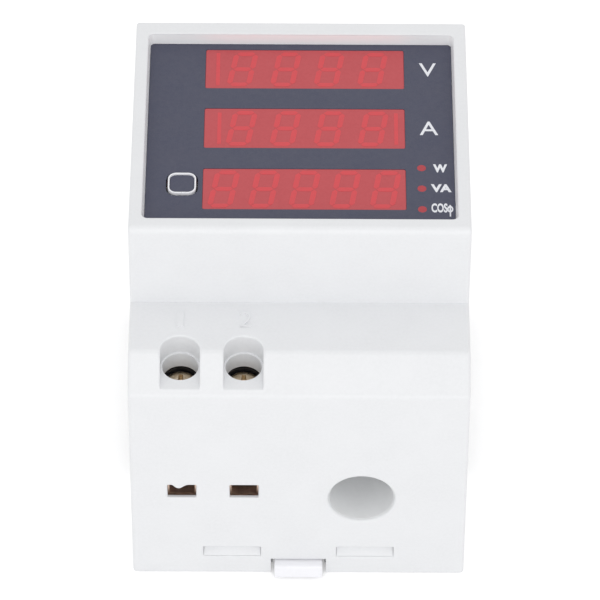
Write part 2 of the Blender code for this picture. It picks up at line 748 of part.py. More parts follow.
def cover_outline():
    """The rear cover's section across the rail, in (y, z): two feet and a raised seat."""
    right = [
        (CHANNEL_Y, 0),
        (COVER_Y, 0),
        (COVER_Y, COVER_THICKNESS),
        (CHANNEL_Y + COVER_THICKNESS, COVER_THICKNESS),
        (CHANNEL_Y + COVER_THICKNESS, SEAT_TOP),
    ]
    seat = CHANNEL_Y - SEAT_RELIEF_WIDTH
    floor = SEAT_Z + SEAT_RELIEF
    relief = [(seat, SEAT_Z), (seat, floor), (CHANNEL_Y, floor + SEAT_RELIEF_FALL)]
    half = relief + right
    return [(-y, z) for y, z in reversed(half)] + half


def fixed_hook():
    """The hook at the far side of the rail channel, which goes under the rail's lip."""
    root = CHANNEL_Y + BITE
    outline = [
        (HOOK_TIP_Y, HOOK_TOP),
        (HOOK_TIP_Y, (HOOK_TOP + HOOK_FOOT) / 2),
        (CHANNEL_Y - BITE, HOOK_FOOT),
        (root, HOOK_FOOT),
        (root, HOOK_TOP),
    ]
    return extruded("Fixed hook", outline, (-HOOK_WIDTH / 2, HOOK_WIDTH / 2), "X")


def snap_hook(side, end):
    """A tongue on the cover's end with a sloped catch that reaches into a window of the housing."""
    half = SNAP_WIDTH / 2 - GAP
    x = (side * SNAP_X - half, side * SNAP_X + half)
    face = COVER_Y - SNAP_STEP
    top = SNAP_Z + SNAP_HEIGHT - GAP
    outline = [
        (face - SNAP_TONGUE, COVER_THICKNESS - BITE),
        (face, COVER_THICKNESS - BITE),
        (face, SNAP_Z + GAP),
        (face + SNAP_REACH, SNAP_Z + GAP),
        (face + SNAP_REACH, SNAP_Z + 2 * GAP),
        (face, top),
        (face - GAP, top + SNAP_TONGUE),
        (face - SNAP_TONGUE, top + SNAP_TONGUE),
    ]
    return extruded("Snap hook", [(end * y, z) for y, z in outline], x, "X")


def sleeve_saddle(y):
    """An upright rib of the cover with a half-round seat for the cable sleeve."""
    seat = SLEEVE_RADIUS + GAP
    half = seat + SADDLE_THICKNESS
    outline = [(CABLE_X + half, COVER_THICKNESS - BITE), (CABLE_X + half, CABLE_Z)]
    outline += arc((CABLE_X, CABLE_Z), seat, 0, -180, 16)
    outline += [(CABLE_X - half, CABLE_Z), (CABLE_X - half, COVER_THICKNESS - BITE)]
    thickness = (y - SADDLE_THICKNESS / 2, y + SADDLE_THICKNESS / 2)
    return extruded("Sleeve saddle", outline, thickness, "Y")


def rear_cover():
    """The back of the case, with the rail channel, the fixed hook and the guide of the clip."""
    cover = extruded("Cover", cover_outline(), (-COVER_X, COVER_X), "X")
    guide_top = CLIP_NOTCH_TOP + CLIP_GUIDE_ROOF
    guide_y = (BITE - COVER_Y, -BITE - CHANNEL_Y)
    guide = box("Clip guide", (-GUIDE_X, GUIDE_X), guide_y, (BITE, guide_top))
    fuse(cover, fixed_hook(), guide)
    fuse(cover, *[snap_hook(side, end) for side in (-1, 1) for end in (-1, 1)])
    saddle_y = END_Y - SADDLE_INSET
    fuse(cover, sleeve_saddle(saddle_y), sleeve_saddle(-saddle_y))
    slot_x = CLIP_WIDTH / 2 + GAP
    groove_x = CLIP_FLANGE_X + GAP
    groove_half = CLIP_FLANGE_THICKNESS / 2 + GAP
    nose_y = CLIP_TIP_Y - CLIP_NOSE - CLIP_TRAVEL - GAP
    slot = box(
        "Clip slot",
        (-slot_x, slot_x),
        (-COVER_Y - OVERCUT, OVERCUT - CHANNEL_Y),
        (-OVERCUT, CLIP_NOTCH_TOP),
    )
    groove = box(
        "Clip groove",
        (-groove_x, groove_x),
        (GROOVE_START_Y, OVERCUT - CHANNEL_Y),
        (CLIP_MIDDLE_Z - groove_half, CLIP_MIDDLE_Z + groove_half),
    )
    nose_way = box(
        "Nose way",
        (-groove_x, groove_x),
        (nose_y, OVERCUT - CHANNEL_Y),
        (-OVERCUT, HOOK_TOP + GAP),
    )
    cut(cover, slot, groove, nose_way)
    stop_y = SPRING_WINDOW_Y + GAP
    stop_half = SPRING_DIAMETER / 2
    stop = box(
        "Spring stop",
        (-stop_half, stop_half),
        (stop_y, stop_y + SPRING_STOP),
        (CLIP_FOOT + GAP, CLIP_NOTCH_TOP + BITE),
    )
    fuse(cover, stop)
    return finish(cover, "rear_cover", WHITE)


def rail_clip():
    """The sliding clip: a tab to pull, a window for its spring and a nose under the rail's lip."""
    half = CLIP_WIDTH / 2
    slider = box(
        "Slider", (-half, half), (CLIP_TAB_Y, CLIP_TIP_Y - BITE), (CLIP_FOOT, CLIP_TOP)
    )
    soften(slider, FINE_EDGE)
    flange_half = CLIP_FLANGE_THICKNESS / 2
    flange = box(
        "Flange",
        (-CLIP_FLANGE_X, CLIP_FLANGE_X),
        (CLIP_FLANGE_START_Y, CLIP_TIP_Y - CLIP_NOSE + BITE),
        (CLIP_MIDDLE_Z - flange_half, CLIP_MIDDLE_Z + flange_half),
    )
    back = CLIP_TIP_Y - CLIP_NOSE
    outline = [
        (back, CLIP_FOOT),
        (CLIP_TIP_Y - CLIP_NOSE / 2, CLIP_FOOT),
        (CLIP_TIP_Y, CLIP_MIDDLE_Z),
        (CLIP_TIP_Y, HOOK_TOP),
        (back, HOOK_TOP),
    ]
    nose = extruded("Nose", outline, (-CLIP_FLANGE_X, CLIP_FLANGE_X), "X")
    fuse(slider, flange, nose)
    window_half = SPRING_DIAMETER / 2 + GAP
    window = box(
        "Spring window",
        (-window_half, window_half),
        (SPRING_WINDOW_Y, SPRING_WINDOW_Y + WINDOW_LENGTH),
        (CLIP_FOOT - OVERCUT, CLIP_TOP + OVERCUT),
    )
    cut(slider, window)
    return finish(slider, "rail_clip", CLIP_WHITE, (0, CLIP_TIP_Y, CLIP_MIDDLE_Z))


def clip_spring():
    """The coil that pushes the clip towards the rail."""
    start = SPRING_WINDOW_Y + 2 * GAP + SPRING_STOP
    radius = (SPRING_DIAMETER - SPRING_WIRE) / 2
    run = SPRING_LENGTH - SPRING_WIRE
    steps = SPRING_TURNS * 10
    curve = bpy.data.curves.new("Coil", "CURVE")
    curve.dimensions = "3D"
    curve.bevel_depth = SPRING_WIRE / 2
    curve.bevel_resolution = 1
    curve.use_fill_caps = True
    spline = curve.splines.new("POLY")
    spline.points.add(steps)
    for index, point in enumerate(spline.points):
        angle = 2 * math.pi * SPRING_TURNS * index / steps
        y = start + SPRING_WIRE / 2 + run * index / steps
        place = (radius * math.cos(angle), y, CLIP_MIDDLE_Z + radius * math.sin(angle))
        point.co = (*place, 1)
    coil = bpy.data.objects.new("clip_spring", curve)
    PARTS.objects.link(coil)
    curve.materials.append(material_named(*STEEL))
    return coil


def panel_outline(gap):
    """The recess's outline at the panel, or one that lies inside it by the gap."""
    return rounded_rectangle(
        0, 0, RECESS_WIDTH - 2 * gap, RECESS_LENGTH - 2 * gap, PANEL_CORNER
    )


def pane_outline(y, gap):
    width = WINDOW_WIDTH - 2 * gap
    height = WINDOW_HEIGHT - 2 * gap
    return rounded_rectangle(WINDOWS_X, y, width, height, WINDOW_CORNER, 2)


def front_overlay():
    """The dark panel, with its three windows."""
    sheet = extruded("Panel", panel_outline(GAP), (PANEL_FOOT, PANEL_TOP), "Z")
    through = (PANEL_FOOT - OVERCUT, PANEL_TOP + OVERCUT)
    for y in WINDOW_YS:
        cut(sheet, extruded("Window", pane_outline(y, 0), through, "Z"))
    cut(sheet, key_opening(through), *led_holes(through))
    return finish(sheet, "front_overlay", DARK_PANEL)


def display_filter():
    """The red sheet behind the panel, with a raised pane in each window."""
    sheet = extruded("Filter", panel_outline(GAP), (FILTER_FOOT, FILTER_TOP), "Z")
    pane_z = (FILTER_TOP - BITE, PANEL_TOP - PANE_INSET)
    for y in WINDOW_YS:
        fuse(sheet, extruded("Pane", pane_outline(y, PANE_GAP), pane_z, "Z"))
    through = (FILTER_FOOT - OVERCUT, FILTER_TOP + OVERCUT)
    cut(sheet, key_opening(through), *led_holes(through))
    return finish(sheet, "display_filter", RED_ACRYLIC)


def display_module(name, y):
    """A row of seven-segment digits in one block of resin."""
    half_width = WINDOW_WIDTH / 2 + MODULE_SIDE
    x = (WINDOWS_X - half_width, WINDOWS_X + half_width)
    rows = (y - MODULE_HEIGHT / 2, y + MODULE_HEIGHT / 2)
    module = box("Module", x, rows, (MODULE_FOOT, MODULE_TOP))
    well_x = (x[0] + MODULE_SHELL, x[1] - MODULE_SHELL)
    well_y = (rows[0] + MODULE_SHELL, rows[1] - MODULE_SHELL)
    underside = (MODULE_FOOT - OVERCUT, MODULE_FOOT + MODULE_SHELL)
    cut(module, box("Potting", well_x, well_y, underside))
    return finish(module, name, RED_LENS)


def indicator_led(name, y):
    """An indicator with a slim round tip that shows in the panel."""
    tip = LED_TIP_DIAMETER / 2
    body = LED_BODY_DIAMETER / 2
    flange = LED_FLANGE_DIAMETER / 2
    foot = DISPLAY_BOARD_TOP + GAP
    dome = arc((0, 0), 1, 90, 0, 4)
    profile = [(tip * across, PANEL_TOP - LED_DOME * (1 - height)) for across, height in dome]
    profile += [
        (tip, WALL_FOOT - GAP),
        (body, WALL_FOOT - GAP),
        (body, foot + LED_FLANGE_HEIGHT),
        (flange, foot + LED_FLANGE_HEIGHT),
        (flange, foot),
        (0, foot),
    ]
    return finish(turned("Indicator", profile, (LED_X, y, 0), steps=16), name, RED_LENS)


def key_cap():
    """The key: a white cap with a ring round a dished face, two tabs under the wall and a stem."""
    top = PANEL_TOP + KEY_PROUD
    flange_top = WALL_FOOT - GAP
    flange_foot = flange_top - KEY_FLANGE_HEIGHT
    outline = rounded_rectangle(KEY_X, KEY_Y, KEY_WIDTH, KEY_LENGTH, KEY_CORNER)
    cap = extruded("Key cap", outline, (flange_foot + BITE, top), "Z")
    long = KEY_LENGTH + 2 * KEY_FLANGE
    flange = extruded(
        "Key flange",
        rounded_rectangle(KEY_X, KEY_Y, KEY_WIDTH, long, KEY_CORNER),
        (flange_foot, flange_top),
        "Z",
    )
    plunger_top = DISPLAY_BOARD_TOP + GAP + SWITCH_HEIGHT + PLUNGER_HEIGHT - PLUNGER_SUNK
    stem_z = (plunger_top + GAP, flange_foot + BITE)
    stem = round_bar("Key stem", KEY_STEM_DIAMETER, KEY_X, KEY_Y, stem_z, 16)
    face = (KEY_WIDTH - 2 * KEY_RING, KEY_LENGTH - 2 * KEY_RING)
    dish = extruded(
        "Key dish",
        rounded_rectangle(KEY_X, KEY_Y, *face, KEY_CORNER - KEY_RING),
        (top - KEY_DISH, top + OVERCUT),
        "Z",
    )
    cut(fuse(cap, flange, stem), dish)
    return finish(cap, "key_cap", WHITE, (KEY_X, KEY_Y, top))


def key_switch():
    """The switch that the key presses, with a bore for its plunger."""
    foot = DISPLAY_BOARD_TOP + GAP
    half = SWITCH_SIZE / 2
    body = box(
        "Switch",
        (KEY_X - half, KEY_X + half),
        (KEY_Y - half, KEY_Y + half),
        (foot, foot + SWITCH_HEIGHT),
    )
    bore_z = (foot + SWITCH_HEIGHT - PLUNGER_SUNK - KEY_TRAVEL - 2 * GAP, foot + SWITCH_HEIGHT)
    bore = round_bar(
        "Plunger bore",
        PLUNGER_DIAMETER + 2 * GAP,
        KEY_X,
        KEY_Y,
        (bore_z[0], bore_z[1] + OVERCUT),
        16,
    )
    return finish(cut(body, bore), "key_switch", BLACK_RESIN)


def key_plunger():
    foot = DISPLAY_BOARD_TOP + GAP + SWITCH_HEIGHT - PLUNGER_SUNK
    plunger = round_bar(
        "Plunger", PLUNGER_DIAMETER, KEY_X, KEY_Y, (foot, foot + PLUNGER_HEIGHT), 16
    )
    return finish(plunger, "key_plunger", BLACK_RESIN)


def board(name, y, z, places):
    """A circuit board with a hole at each of its bosses."""
    middle = (y[0] + y[1]) / 2
    outline = rounded_rectangle(0, middle, 2 * BOARD_X, y[1] - y[0], BOARD_CORNER, 3)
    sheet = extruded("Board", outline, (z, z + BOARD_THICKNESS), "Z")
    through = (z - OVERCUT, z + BOARD_THICKNESS + OVERCUT)
    bore = BOARD_SCREW_DIAMETER + 2 * GAP
    cut(sheet, *[round_bar("Screw hole", bore, x, hole_y, through, 12) for x, hole_y in places])
    return sheet


def display_board():
    sheet = board(
        "display_board", (-DISPLAY_BOARD_Y, DISPLAY_BOARD_Y), DISPLAY_BOARD_FOOT, DISPLAY_BOSSES
    )
    return finish(sheet, "display_board", BOARD_GREEN)


def contact_leg_y():
    """The far face of the contact bars' upright legs, which stand in slots of the main board."""
    return MAIN_FRONT_Y + CONTACT_WEB + GAP + CONTACT_THICKNESS


def main_board():
    sheet = board("main_board", (MAIN_FRONT_Y, MAIN_BACK_Y), MAIN_BOARD_Z, MAIN_BOSSES)
    through = (MAIN_BOARD_Z - OVERCUT, MAIN_BOARD_TOP + OVERCUT)
    half = CONTACT_WIDTH / 2 + GAP
    leg = contact_leg_y()
    for x in POLE_XS:
        slot = box(
            "Contact slot",
            (x - half, x + half),
            (leg - CONTACT_THICKNESS - GAP, leg + GAP),
            through,
        )
        cut(sheet, slot)
    for x in LEAD_XS:
        bore = LEAD_DIAMETER + 2 * GAP
        cut(sheet, round_bar("Lead hole", bore, x, CORE_Y, through, 12))
    return finish(sheet, "main_board", BOARD_GREEN)


def board_screw(name, x, y, seat):
    """A pan-head screw that holds a board to its boss, its head under the board."""
    head = BOARD_SCREW_HEAD / 2
    shank = BOARD_SCREW_DIAMETER / 2
    top = seat + BOARD_THICKNESS + BOARD_SCREW_LENGTH - 2 * GAP
    under = seat - GAP
    foot = under - BOARD_SCREW_HEAD_HEIGHT
    profile = [
        (0, top),
        (shank / 2, top),
        (shank, top - shank),
        (shank, under),
        (head, under),
        (head, foot + BOARD_SCREW_HEAD_HEIGHT / 2),
        (head * HEAD_CROWN, foot),
        (0, foot),
    ]
    return finish(turned("Board screw", profile, (x, y, 0), steps=12), name, STEEL)


def terminal_block():
    """The resin block that holds both terminals: a chamber for each cage and a bore for each screw."""
    half = TERMINAL_BLOCK_WIDTH / 2
    block = box(
        "Terminal block",
        (TERMINALS_X - half, TERMINALS_X + half),
        (TERMINAL_FRONT, TERMINAL_BACK),
        (TERMINAL_BLOCK_FOOT, TERMINAL_TOP),
    )
    cage_half = CAGE_WIDTH / 2 + GAP
    contact_half = CONTACT_WIDTH / 2 + GAP
    shank = SCREW_DIAMETER / 2 + GAP
    for x in POLE_XS:
        chamber = box(
            "Cage chamber",
            (x - cage_half, x + cage_half),
            (TERMINAL_FRONT - OVERCUT, TERMINAL_BACK - TERMINAL_BACK_WALL),
            (CHAMBER_FOOT, CHAMBER_TOP),
        )
        way_out = box(
            "Contact way",
            (x - contact_half, x + contact_half),
            (TERMINAL_BACK - TERMINAL_BACK_WALL - OVERCUT, TERMINAL_BACK + OVERCUT),
            (CONTACT_FOOT - GAP, CONTACT_TOP + GAP),
        )
        profile = [(0, TERMINAL_TOP + OVERCUT), (WELL_DIAMETER / 2, TERMINAL_TOP + OVERCUT)]
        profile += [(WELL_DIAMETER / 2, SCREW_SHOULDER - GAP), (shank, SCREW_SHOULDER - GAP)]
        profile += [(shank, CHAMBER_TOP - OVERCUT), (0, CHAMBER_TOP - OVERCUT)]
        screw_bore = turned("Screw bore", profile, (x, WELL_Y, 0), steps=24)
        cut(block, chamber, way_out, screw_bore)
    return finish(block, "terminal_block", BLACK_RESIN)


def cross(x, y, arm, width):
    """The outline of a cross recess, whose arms narrow towards their tips."""
    a, w = arm / 2, width / 2
    tip = w * CROSS_TAPER
    quarter = [(a, -tip), (a, tip), (w, w)]
    points = []
    for turn in range(4):
        c, s = round(math.cos(turn * math.pi / 2)), round(math.sin(turn * math.pi / 2))
        points += [(x + px * c - py * s, y + px * s + py * c) for px, py in quarter]
    return points


def terminal_screw(name, x):
    """A cross-head screw. Its tip bears on the contact bar, and its thread lifts the cage."""
    head = SCREW_HEAD_DIAMETER / 2
    shank = SCREW_DIAMETER / 2
    tip = CONTACT_TOP + GAP
    dome = SCREW_HEAD_HEIGHT / 4
    profile = [
        (0, SCREW_TOP),
        (head * HEAD_CROWN, SCREW_TOP - dome / 3),
        (head, SCREW_TOP - dome),
        (head, SCREW_SHOULDER),
        (shank, SCREW_SHOULDER),
        (shank, tip + shank / 2),
        (shank / 2, tip),
        (0, tip),
    ]
    profile = [(radius, height - SCREW_TOP) for radius, height in profile]
    screw = turned("Terminal screw", profile, (x, WELL_Y, SCREW_TOP), steps=20)
    recess = extruded(
        "Cross recess",
        cross(x, WELL_Y, CROSS_ARM, CROSS_WIDTH),
        (SCREW_TOP - CROSS_DEPTH, SCREW_TOP + OVERCUT),
        "Z",
    )
    return finish(cut(screw, recess), name, STEEL)


def clamp_cage(name, x):
    """A folded cage round the contact bar. It rises on its screw and clamps the wire from below."""
    half = CAGE_WIDTH / 2
    front = WIRE_SLOT_SKIN + 2 * GAP - END_Y
    back = TERMINAL_BACK - TERMINAL_BACK_WALL - GAP
    foot = CAGE_FLOOR_TOP - CAGE_FLOOR
    roof = CAGE_ROOF_FOOT
    cage = box("Cage", (x - half, x + half), (front, back), (foot, roof + CAGE_ROOF))
    soften(cage, FINE_EDGE)
    inner = half - CAGE_SIDE
    opening = box(
        "Cage opening",
        (x - inner, x + inner),
        (front - OVERCUT, back + OVERCUT),
        (CAGE_FLOOR_TOP, roof),
    )
    thread = round_bar(
        "Cage thread",
        SCREW_DIAMETER + 2 * GAP,
        x,
        WELL_Y,
        (roof - OVERCUT, roof + CAGE_ROOF + OVERCUT),
        20,
    )
    return finish(cut(cage, opening, thread), name, BRASS, (x, WELL_Y, CAGE_FLOOR_TOP))


def contact_bar(name, x):
    """The bent bar that the wire is clamped against, its leg soldered into the main board."""
    leg = contact_leg_y()
    front = TERMINAL_FRONT
    top = MAIN_BOARD_TOP + CONTACT_TAIL
    inner_bend = CONTACT_THICKNESS / 2
    outer_bend = inner_bend + CONTACT_THICKNESS
    outline = [(front, CONTACT_TOP), (front, CONTACT_FOOT)]
    outline += arc((leg - outer_bend, CONTACT_FOOT + outer_bend), outer_bend, -90, 0, 4)
    outline += [(leg, top), (leg - CONTACT_THICKNESS, top)]
    outline += arc((leg - outer_bend, CONTACT_FOOT + outer_bend), inner_bend, 0, -90, 4)
    half = CONTACT_WIDTH / 2
    bar = extruded("Contact bar", outline, (x - half, x + half), "X")
    return finish(bar, name, COPPER)


def cable_sleeve():
    """The smooth tube between the two cable holes."""
    half = END_Y - WALL - GAP
    bore = CABLE_HOLE / 2
    profile = [(bore, half), (SLEEVE_RADIUS, half), (SLEEVE_RADIUS, -half), (bore, -half)]
    tube = turned("Sleeve", profile, (CABLE_X, 0, CABLE_Z), "Y", 32, ring=True)
    return finish(tube, "cable_sleeve", WHITE)


def transformer_core():
    """The coated ring core of the current transformer, round the sleeve."""
    half = CORE_LENGTH / 2
    inner = SLEEVE_RADIUS + GAP
    r = CORE_ROUNDING
    quarters = (
        ((CORE_RADIUS - r, half - r), 90),
        ((CORE_RADIUS - r, r - half), 0),
        ((inner + r, r - half), -90),
        ((inner + r, half - r), -180),
    )
    profile = []
    for centre, start in quarters:
        profile += arc(centre, r, start, start - 90, 3)
    ring = turned("Core", profile, (CABLE_X, CORE_Y, CABLE_Z), "Y", 32, ring=True)
    return finish(ring, "transformer_core", FERRITE)


def core_lead(name, x):
    """A stiff lead from the transformer up into the main board."""
    reach = abs(x - CABLE_X)
    foot = CABLE_Z + math.sqrt(CORE_RADIUS**2 - reach**2) + GAP
    top = MAIN_BOARD_TOP + LEAD_SOLDER
    return finish(round_bar("Lead", LEAD_DIAMETER, x, CORE_Y, (foot, top), 12), name, COPPER)


def film_capacitor():
    x = BOARD_X * FILM_CAPACITOR_X_SHARE
    y = MAIN_FRONT_Y + FILM_CAPACITOR_BACK
    half = BOARD_X * FILM_CAPACITOR_SHARE / 2
    foot = MAIN_BOARD_TOP + GAP
    body = box(
        "Film capacitor",
        (x - half, x + half),
        (y - FILM_CAPACITOR_WIDTH / 2, y + FILM_CAPACITOR_WIDTH / 2),
        (foot, foot + CAPACITOR_HEIGHT),
    )
    soften(body, CAPACITOR_HEIGHT * FILM_CAPACITOR_EDGE)
    return finish(body, "film_capacitor", YELLOW_FILM)


def electrolytic_capacitor():
    """A can with the crimped groove near its foot."""
    radius = ELECTROLYTIC_DIAMETER / 2
    foot = MAIN_BOARD_TOP + GAP
    top = foot + CAPACITOR_HEIGHT
    groove = foot + CAPACITOR_HEIGHT * ELECTROLYTIC_GROOVE
    crimp = CAPACITOR_HEIGHT * ELECTROLYTIC_CRIMP
    profile = [
        (0, top),
        (radius - crimp, top),
        (radius, top - crimp),
        (radius, groove + crimp),
        (radius - crimp, groove),
        (radius, groove - crimp),
        (radius, foot),
        (0, foot),
    ]
    place = (ELECTROLYTIC_X, MAIN_FRONT_Y + ELECTROLYTIC_BACK, 0)
    can = turned("Can", profile, place, steps=20)
    return finish(can, "electrolytic_capacitor", BLUE_SLEEVE)


def varistor():
    """A coated disc that stands on its edge."""
    radius = BOARD_SPACE * VARISTOR_SHARE / 2
    place = (TERMINALS_X, MAIN_FRONT_Y + VARISTOR_BACK, MAIN_BOARD_TOP + GAP + radius)
    half = VARISTOR_THICKNESS / 2
    rim = half / 2
    profile = [(0, half), (radius - rim, half), (radius, half - rim)]
    profile += [(r, -h) for r, h in reversed(profile)]
    return finish(turned("Disc", profile, place, "Y", 20), "varistor", BLUE_SLEEVE)


def fuse_resistor():
    """A fusible resistor, lying on the board between two formed leads."""
    radius = FUSE_DIAMETER / 2
    half = FUSE_LENGTH / 2
    z = MAIN_BOARD_TOP + GAP + radius
    waist = radius * FUSE_WAIST
    step = radius - waist
    inner = half - FUSE_END_LENGTH
    profile = [(0, half), (waist, half), (radius, half - step), (radius, inner + step)]
    profile += [(waist, inner)]
    profile += [(r, -h) for r, h in reversed(profile)]
    place = (ELECTROLYTIC_X - FUSE_BESIDE_CAN, MAIN_FRONT_Y + FUSE_BACK, z)
    body = turned("Resistor", profile, place, "Y", 16)
    return finish(body, "fuse_resistor", BOARD_GREEN)


def chip(name, x, y, foot, up):
    """A flat chip with gull-wing legs along both sides. up is 1 on a board and -1 under it."""

    def span(low, high):
        return tuple(sorted((foot + up * low, foot + up * high)))

    body = box(
        "Chip",
        (x - CHIP_LENGTH / 2, x + CHIP_LENGTH / 2),
        (y - CHIP_WIDTH / 2, y + CHIP_WIDTH / 2),
        span(GAP, CHIP_HEIGHT),
    )
    leg_pitch = CHIP_LENGTH / CHIP_LEGS
    reach = CHIP_WIDTH / 2 + CHIP_LEG_REACH
    bend = reach - CHIP_LEG_REACH / 2
    thick = CHIP_LEG_THICKNESS
    middle = CHIP_HEIGHT / 2
    for index in range(CHIP_LEGS):
        leg_x = x + leg_pitch * (index - (CHIP_LEGS - 1) / 2)
        side = [
            (-reach, 0),
            (thick - bend, 0),
            (thick - bend, middle - thick),
            (bend - thick, middle - thick),
            (bend - thick, 0),
            (reach, 0),
            (reach, thick),
            (bend, thick),
            (bend, middle),
            (-bend, middle),
            (-bend, thick),
            (-reach, thick),
        ]
        outline = [(y + across, foot + up * height) for across, height in side]
        width = leg_pitch / 5
        fuse(body, extruded("Leg", outline, (leg_x - width, leg_x + width), "X"))
    return finish(body, name, BLACK_RESIN)


def board_header():
    """The row of pins that joins the two boards, in its plastic base."""
    length = HEADER_PINS * HEADER_PITCH
    y = HEADER_Y
    foot = MAIN_BOARD_TOP + GAP
    half = HEADER_BASE / 2
    base = box("Header", (-length / 2, length / 2), (y - half, y + half), (foot, foot + HEADER_BASE))
    pin = HEADER_PIN / 2
    for index in range(HEADER_PINS):
        x = HEADER_PITCH * (index - (HEADER_PINS - 1) / 2)
        z = (foot + HEADER_BASE - BITE, DISPLAY_BOARD_FOOT - GAP)
        fuse(base, box("Pin", (x - pin, x + pin), (y - pin, y + pin), z))
    return finish(base, "board_header", BLACK_RESIN)


def build():
    housing()
    rear_cover()
    rail_clip()
    clip_spring()
    front_overlay()
    display_filter()
    for name, y in zip(("display_voltage", "display_current", "display_power"), WINDOW_YS):
        display_module(name, y)
    for index, y in enumerate(LED_YS, 1):
        indicator_led(f"indicator_led_{index}", y)
    key_cap()
    key_switch()
    key_plunger()
    display_board()
    main_board()
    board_header()
    for index, (x, y) in enumerate(DISPLAY_BOSSES, 1):
        board_screw(f"display_board_screw_{index}", x, y, DISPLAY_BOARD_FOOT)
    for index, (x, y) in enumerate(MAIN_BOSSES, 1):
        board_screw(f"main_board_screw_{index}", x, y, MAIN_BOARD_Z)
    terminal_block()
    for index, x in enumerate(POLE_XS, 1):
        terminal_screw(f"terminal_screw_{index}", x)
        clamp_cage(f"clamp_cage_{index}", x)
        contact_bar(f"contact_bar_{index}", x)
    cable_sleeve()
    transformer_core()
    for index, x in enumerate(LEAD_XS, 1):
        core_lead(f"core_lead_{index}", x)
    film_capacitor()
    electrolytic_capacitor()
    varistor()
    fuse_resistor()
    chip_x = BOARD_X * CHIP_X_SHARE
    measuring_y = HEADER_Y - MEASURING_CHIP_TO_HEADER
    chip("measuring_chip", -chip_x, measuring_y, MAIN_BOARD_TOP + GAP, 1)
    chip("driver_chip", chip_x, DRIVER_CHIP_Y, DISPLAY_BOARD_FOOT - GAP, -1)


build()
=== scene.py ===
"""The looks of the din rail energy meter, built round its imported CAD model.

Row frame, in metres: X runs along the rail, Y from the terminal end (-Y) to the far end, and Z out
of the display. The meter lies on its back. The camera looks down at the terminal end.
"""

import math

import bmesh
import bpy
from mathutils import Matrix, Vector
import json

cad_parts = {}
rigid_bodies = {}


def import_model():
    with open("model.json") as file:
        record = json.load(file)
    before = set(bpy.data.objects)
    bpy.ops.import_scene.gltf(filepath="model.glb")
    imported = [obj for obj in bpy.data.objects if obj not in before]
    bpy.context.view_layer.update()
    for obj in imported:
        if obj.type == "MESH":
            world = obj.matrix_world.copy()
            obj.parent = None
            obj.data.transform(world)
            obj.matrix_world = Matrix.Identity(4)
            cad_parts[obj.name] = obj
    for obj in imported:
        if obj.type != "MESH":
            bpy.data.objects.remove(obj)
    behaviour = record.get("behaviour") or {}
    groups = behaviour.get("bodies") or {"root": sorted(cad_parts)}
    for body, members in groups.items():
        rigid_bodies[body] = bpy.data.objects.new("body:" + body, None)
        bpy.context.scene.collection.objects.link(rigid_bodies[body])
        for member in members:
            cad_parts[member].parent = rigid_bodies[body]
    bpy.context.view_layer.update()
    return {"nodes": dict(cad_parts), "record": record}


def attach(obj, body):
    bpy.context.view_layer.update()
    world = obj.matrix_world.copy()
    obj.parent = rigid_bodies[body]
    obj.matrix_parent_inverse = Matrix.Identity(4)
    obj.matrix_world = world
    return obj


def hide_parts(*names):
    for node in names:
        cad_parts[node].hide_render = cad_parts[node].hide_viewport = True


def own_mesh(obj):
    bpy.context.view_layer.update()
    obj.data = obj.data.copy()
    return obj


for startup_object in list(bpy.data.objects):
    bpy.data.objects.remove(startup_object, do_unlink=True)

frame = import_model()

# Sizes shared with the CAD model
GAP = 0.0003
OVERCUT = 0.001
BITE = 0.0004
CASE_WIDTH = 0.053
CASE_LENGTH = 0.079
CASE_DEPTH = 0.062
WALL = 0.002
EDGE_RADIUS = 0.0005
BLOCK_Y = 0.02355
SHOULDER_Z = 0.046
SLOPE_RUN = 0.00545
SLOPE_DROP = 0.0045
RIM_SIDE = 0.0019
RIM_END = 0.00235
PANEL_CORNER = 0.0006
PANEL_TOP = 0.05985
PANEL_FOOT = 0.05905
PANEL_WIDTH = 0.048
PANEL_LENGTH = 0.0412
FILTER_TOP = 0.05875
FILTER_FOOT = 0.05775
WALL_TOP = 0.05745
WALL_FOOT = 0.05595
WINDOW_WIDTH = 0.0316
WINDOW_HEIGHT = 0.009
WINDOW_CORNER = 0.0003
WINDOWS_X = 0.00065
WINDOW_YS = (0.0148, 0.0012, -0.0124)
LED_X = 0.0189
LED_YS = (-0.00765, -0.0122, -0.01675)
LED_HOLE = 0.002
KEY_X = -0.01835
KEY_Y = -0.01145
KEY_WIDTH = 0.0044
KEY_LENGTH = 0.0045
KEY_CORNER = 0.0013
KEY_TOP = 0.0602
KEY_FOOT = 0.05475
KEY_FLANGE = 0.0008
KEY_FLANGE_HEIGHT = 0.0009
KEY_STEM_DIAMETER = 0.0024
KEY_STEM_FOOT = 0.05375
TERMINALS_X = -0.0135
POLE_XS = (-0.0184, -0.0086)
WELL_Y = -0.0338
WELL_DIAMETER = 0.0056
WELL_FOOT = 0.0394
POCKET_WIDTH = 0.0061
TERMINAL_BLOCK_WIDTH = 0.0204
TERMINAL_BACK = -0.0292
SCREW_HEAD_HEIGHT = 0.002
WIRE_SLOT_WIDTH = 0.0045
WIRE_SLOT_HEIGHT = 0.0029
WIRE_SLOT_Z = 0.0181
WIRE_SLOT_SKIN = 0.0006
CAGE_WIDTH = 0.0056
CHAMBER_FOOT = 0.0163
CHAMBER_TOP = 0.0289
CABLE_X = 0.0099
CABLE_Z = 0.0179
CABLE_HOLE = 0.0102
SLEEVE_RADIUS = 0.0061
CHANNEL_Y = 0.018
SEAT_Z = 0.005
SNAP_X = 0.0106
SNAP_WIDTH = 0.0091
SNAP_HEIGHT = 0.0023
SNAP_Z = 0.004
CLIP_WIDTH = 0.0077
CLIP_NOTCH_TOP = 0.0035
CLIP_NOTCH_SIDE = 0.00055
END_Y = CASE_LENGTH / 2
SIDE_X = CASE_WIDTH / 2

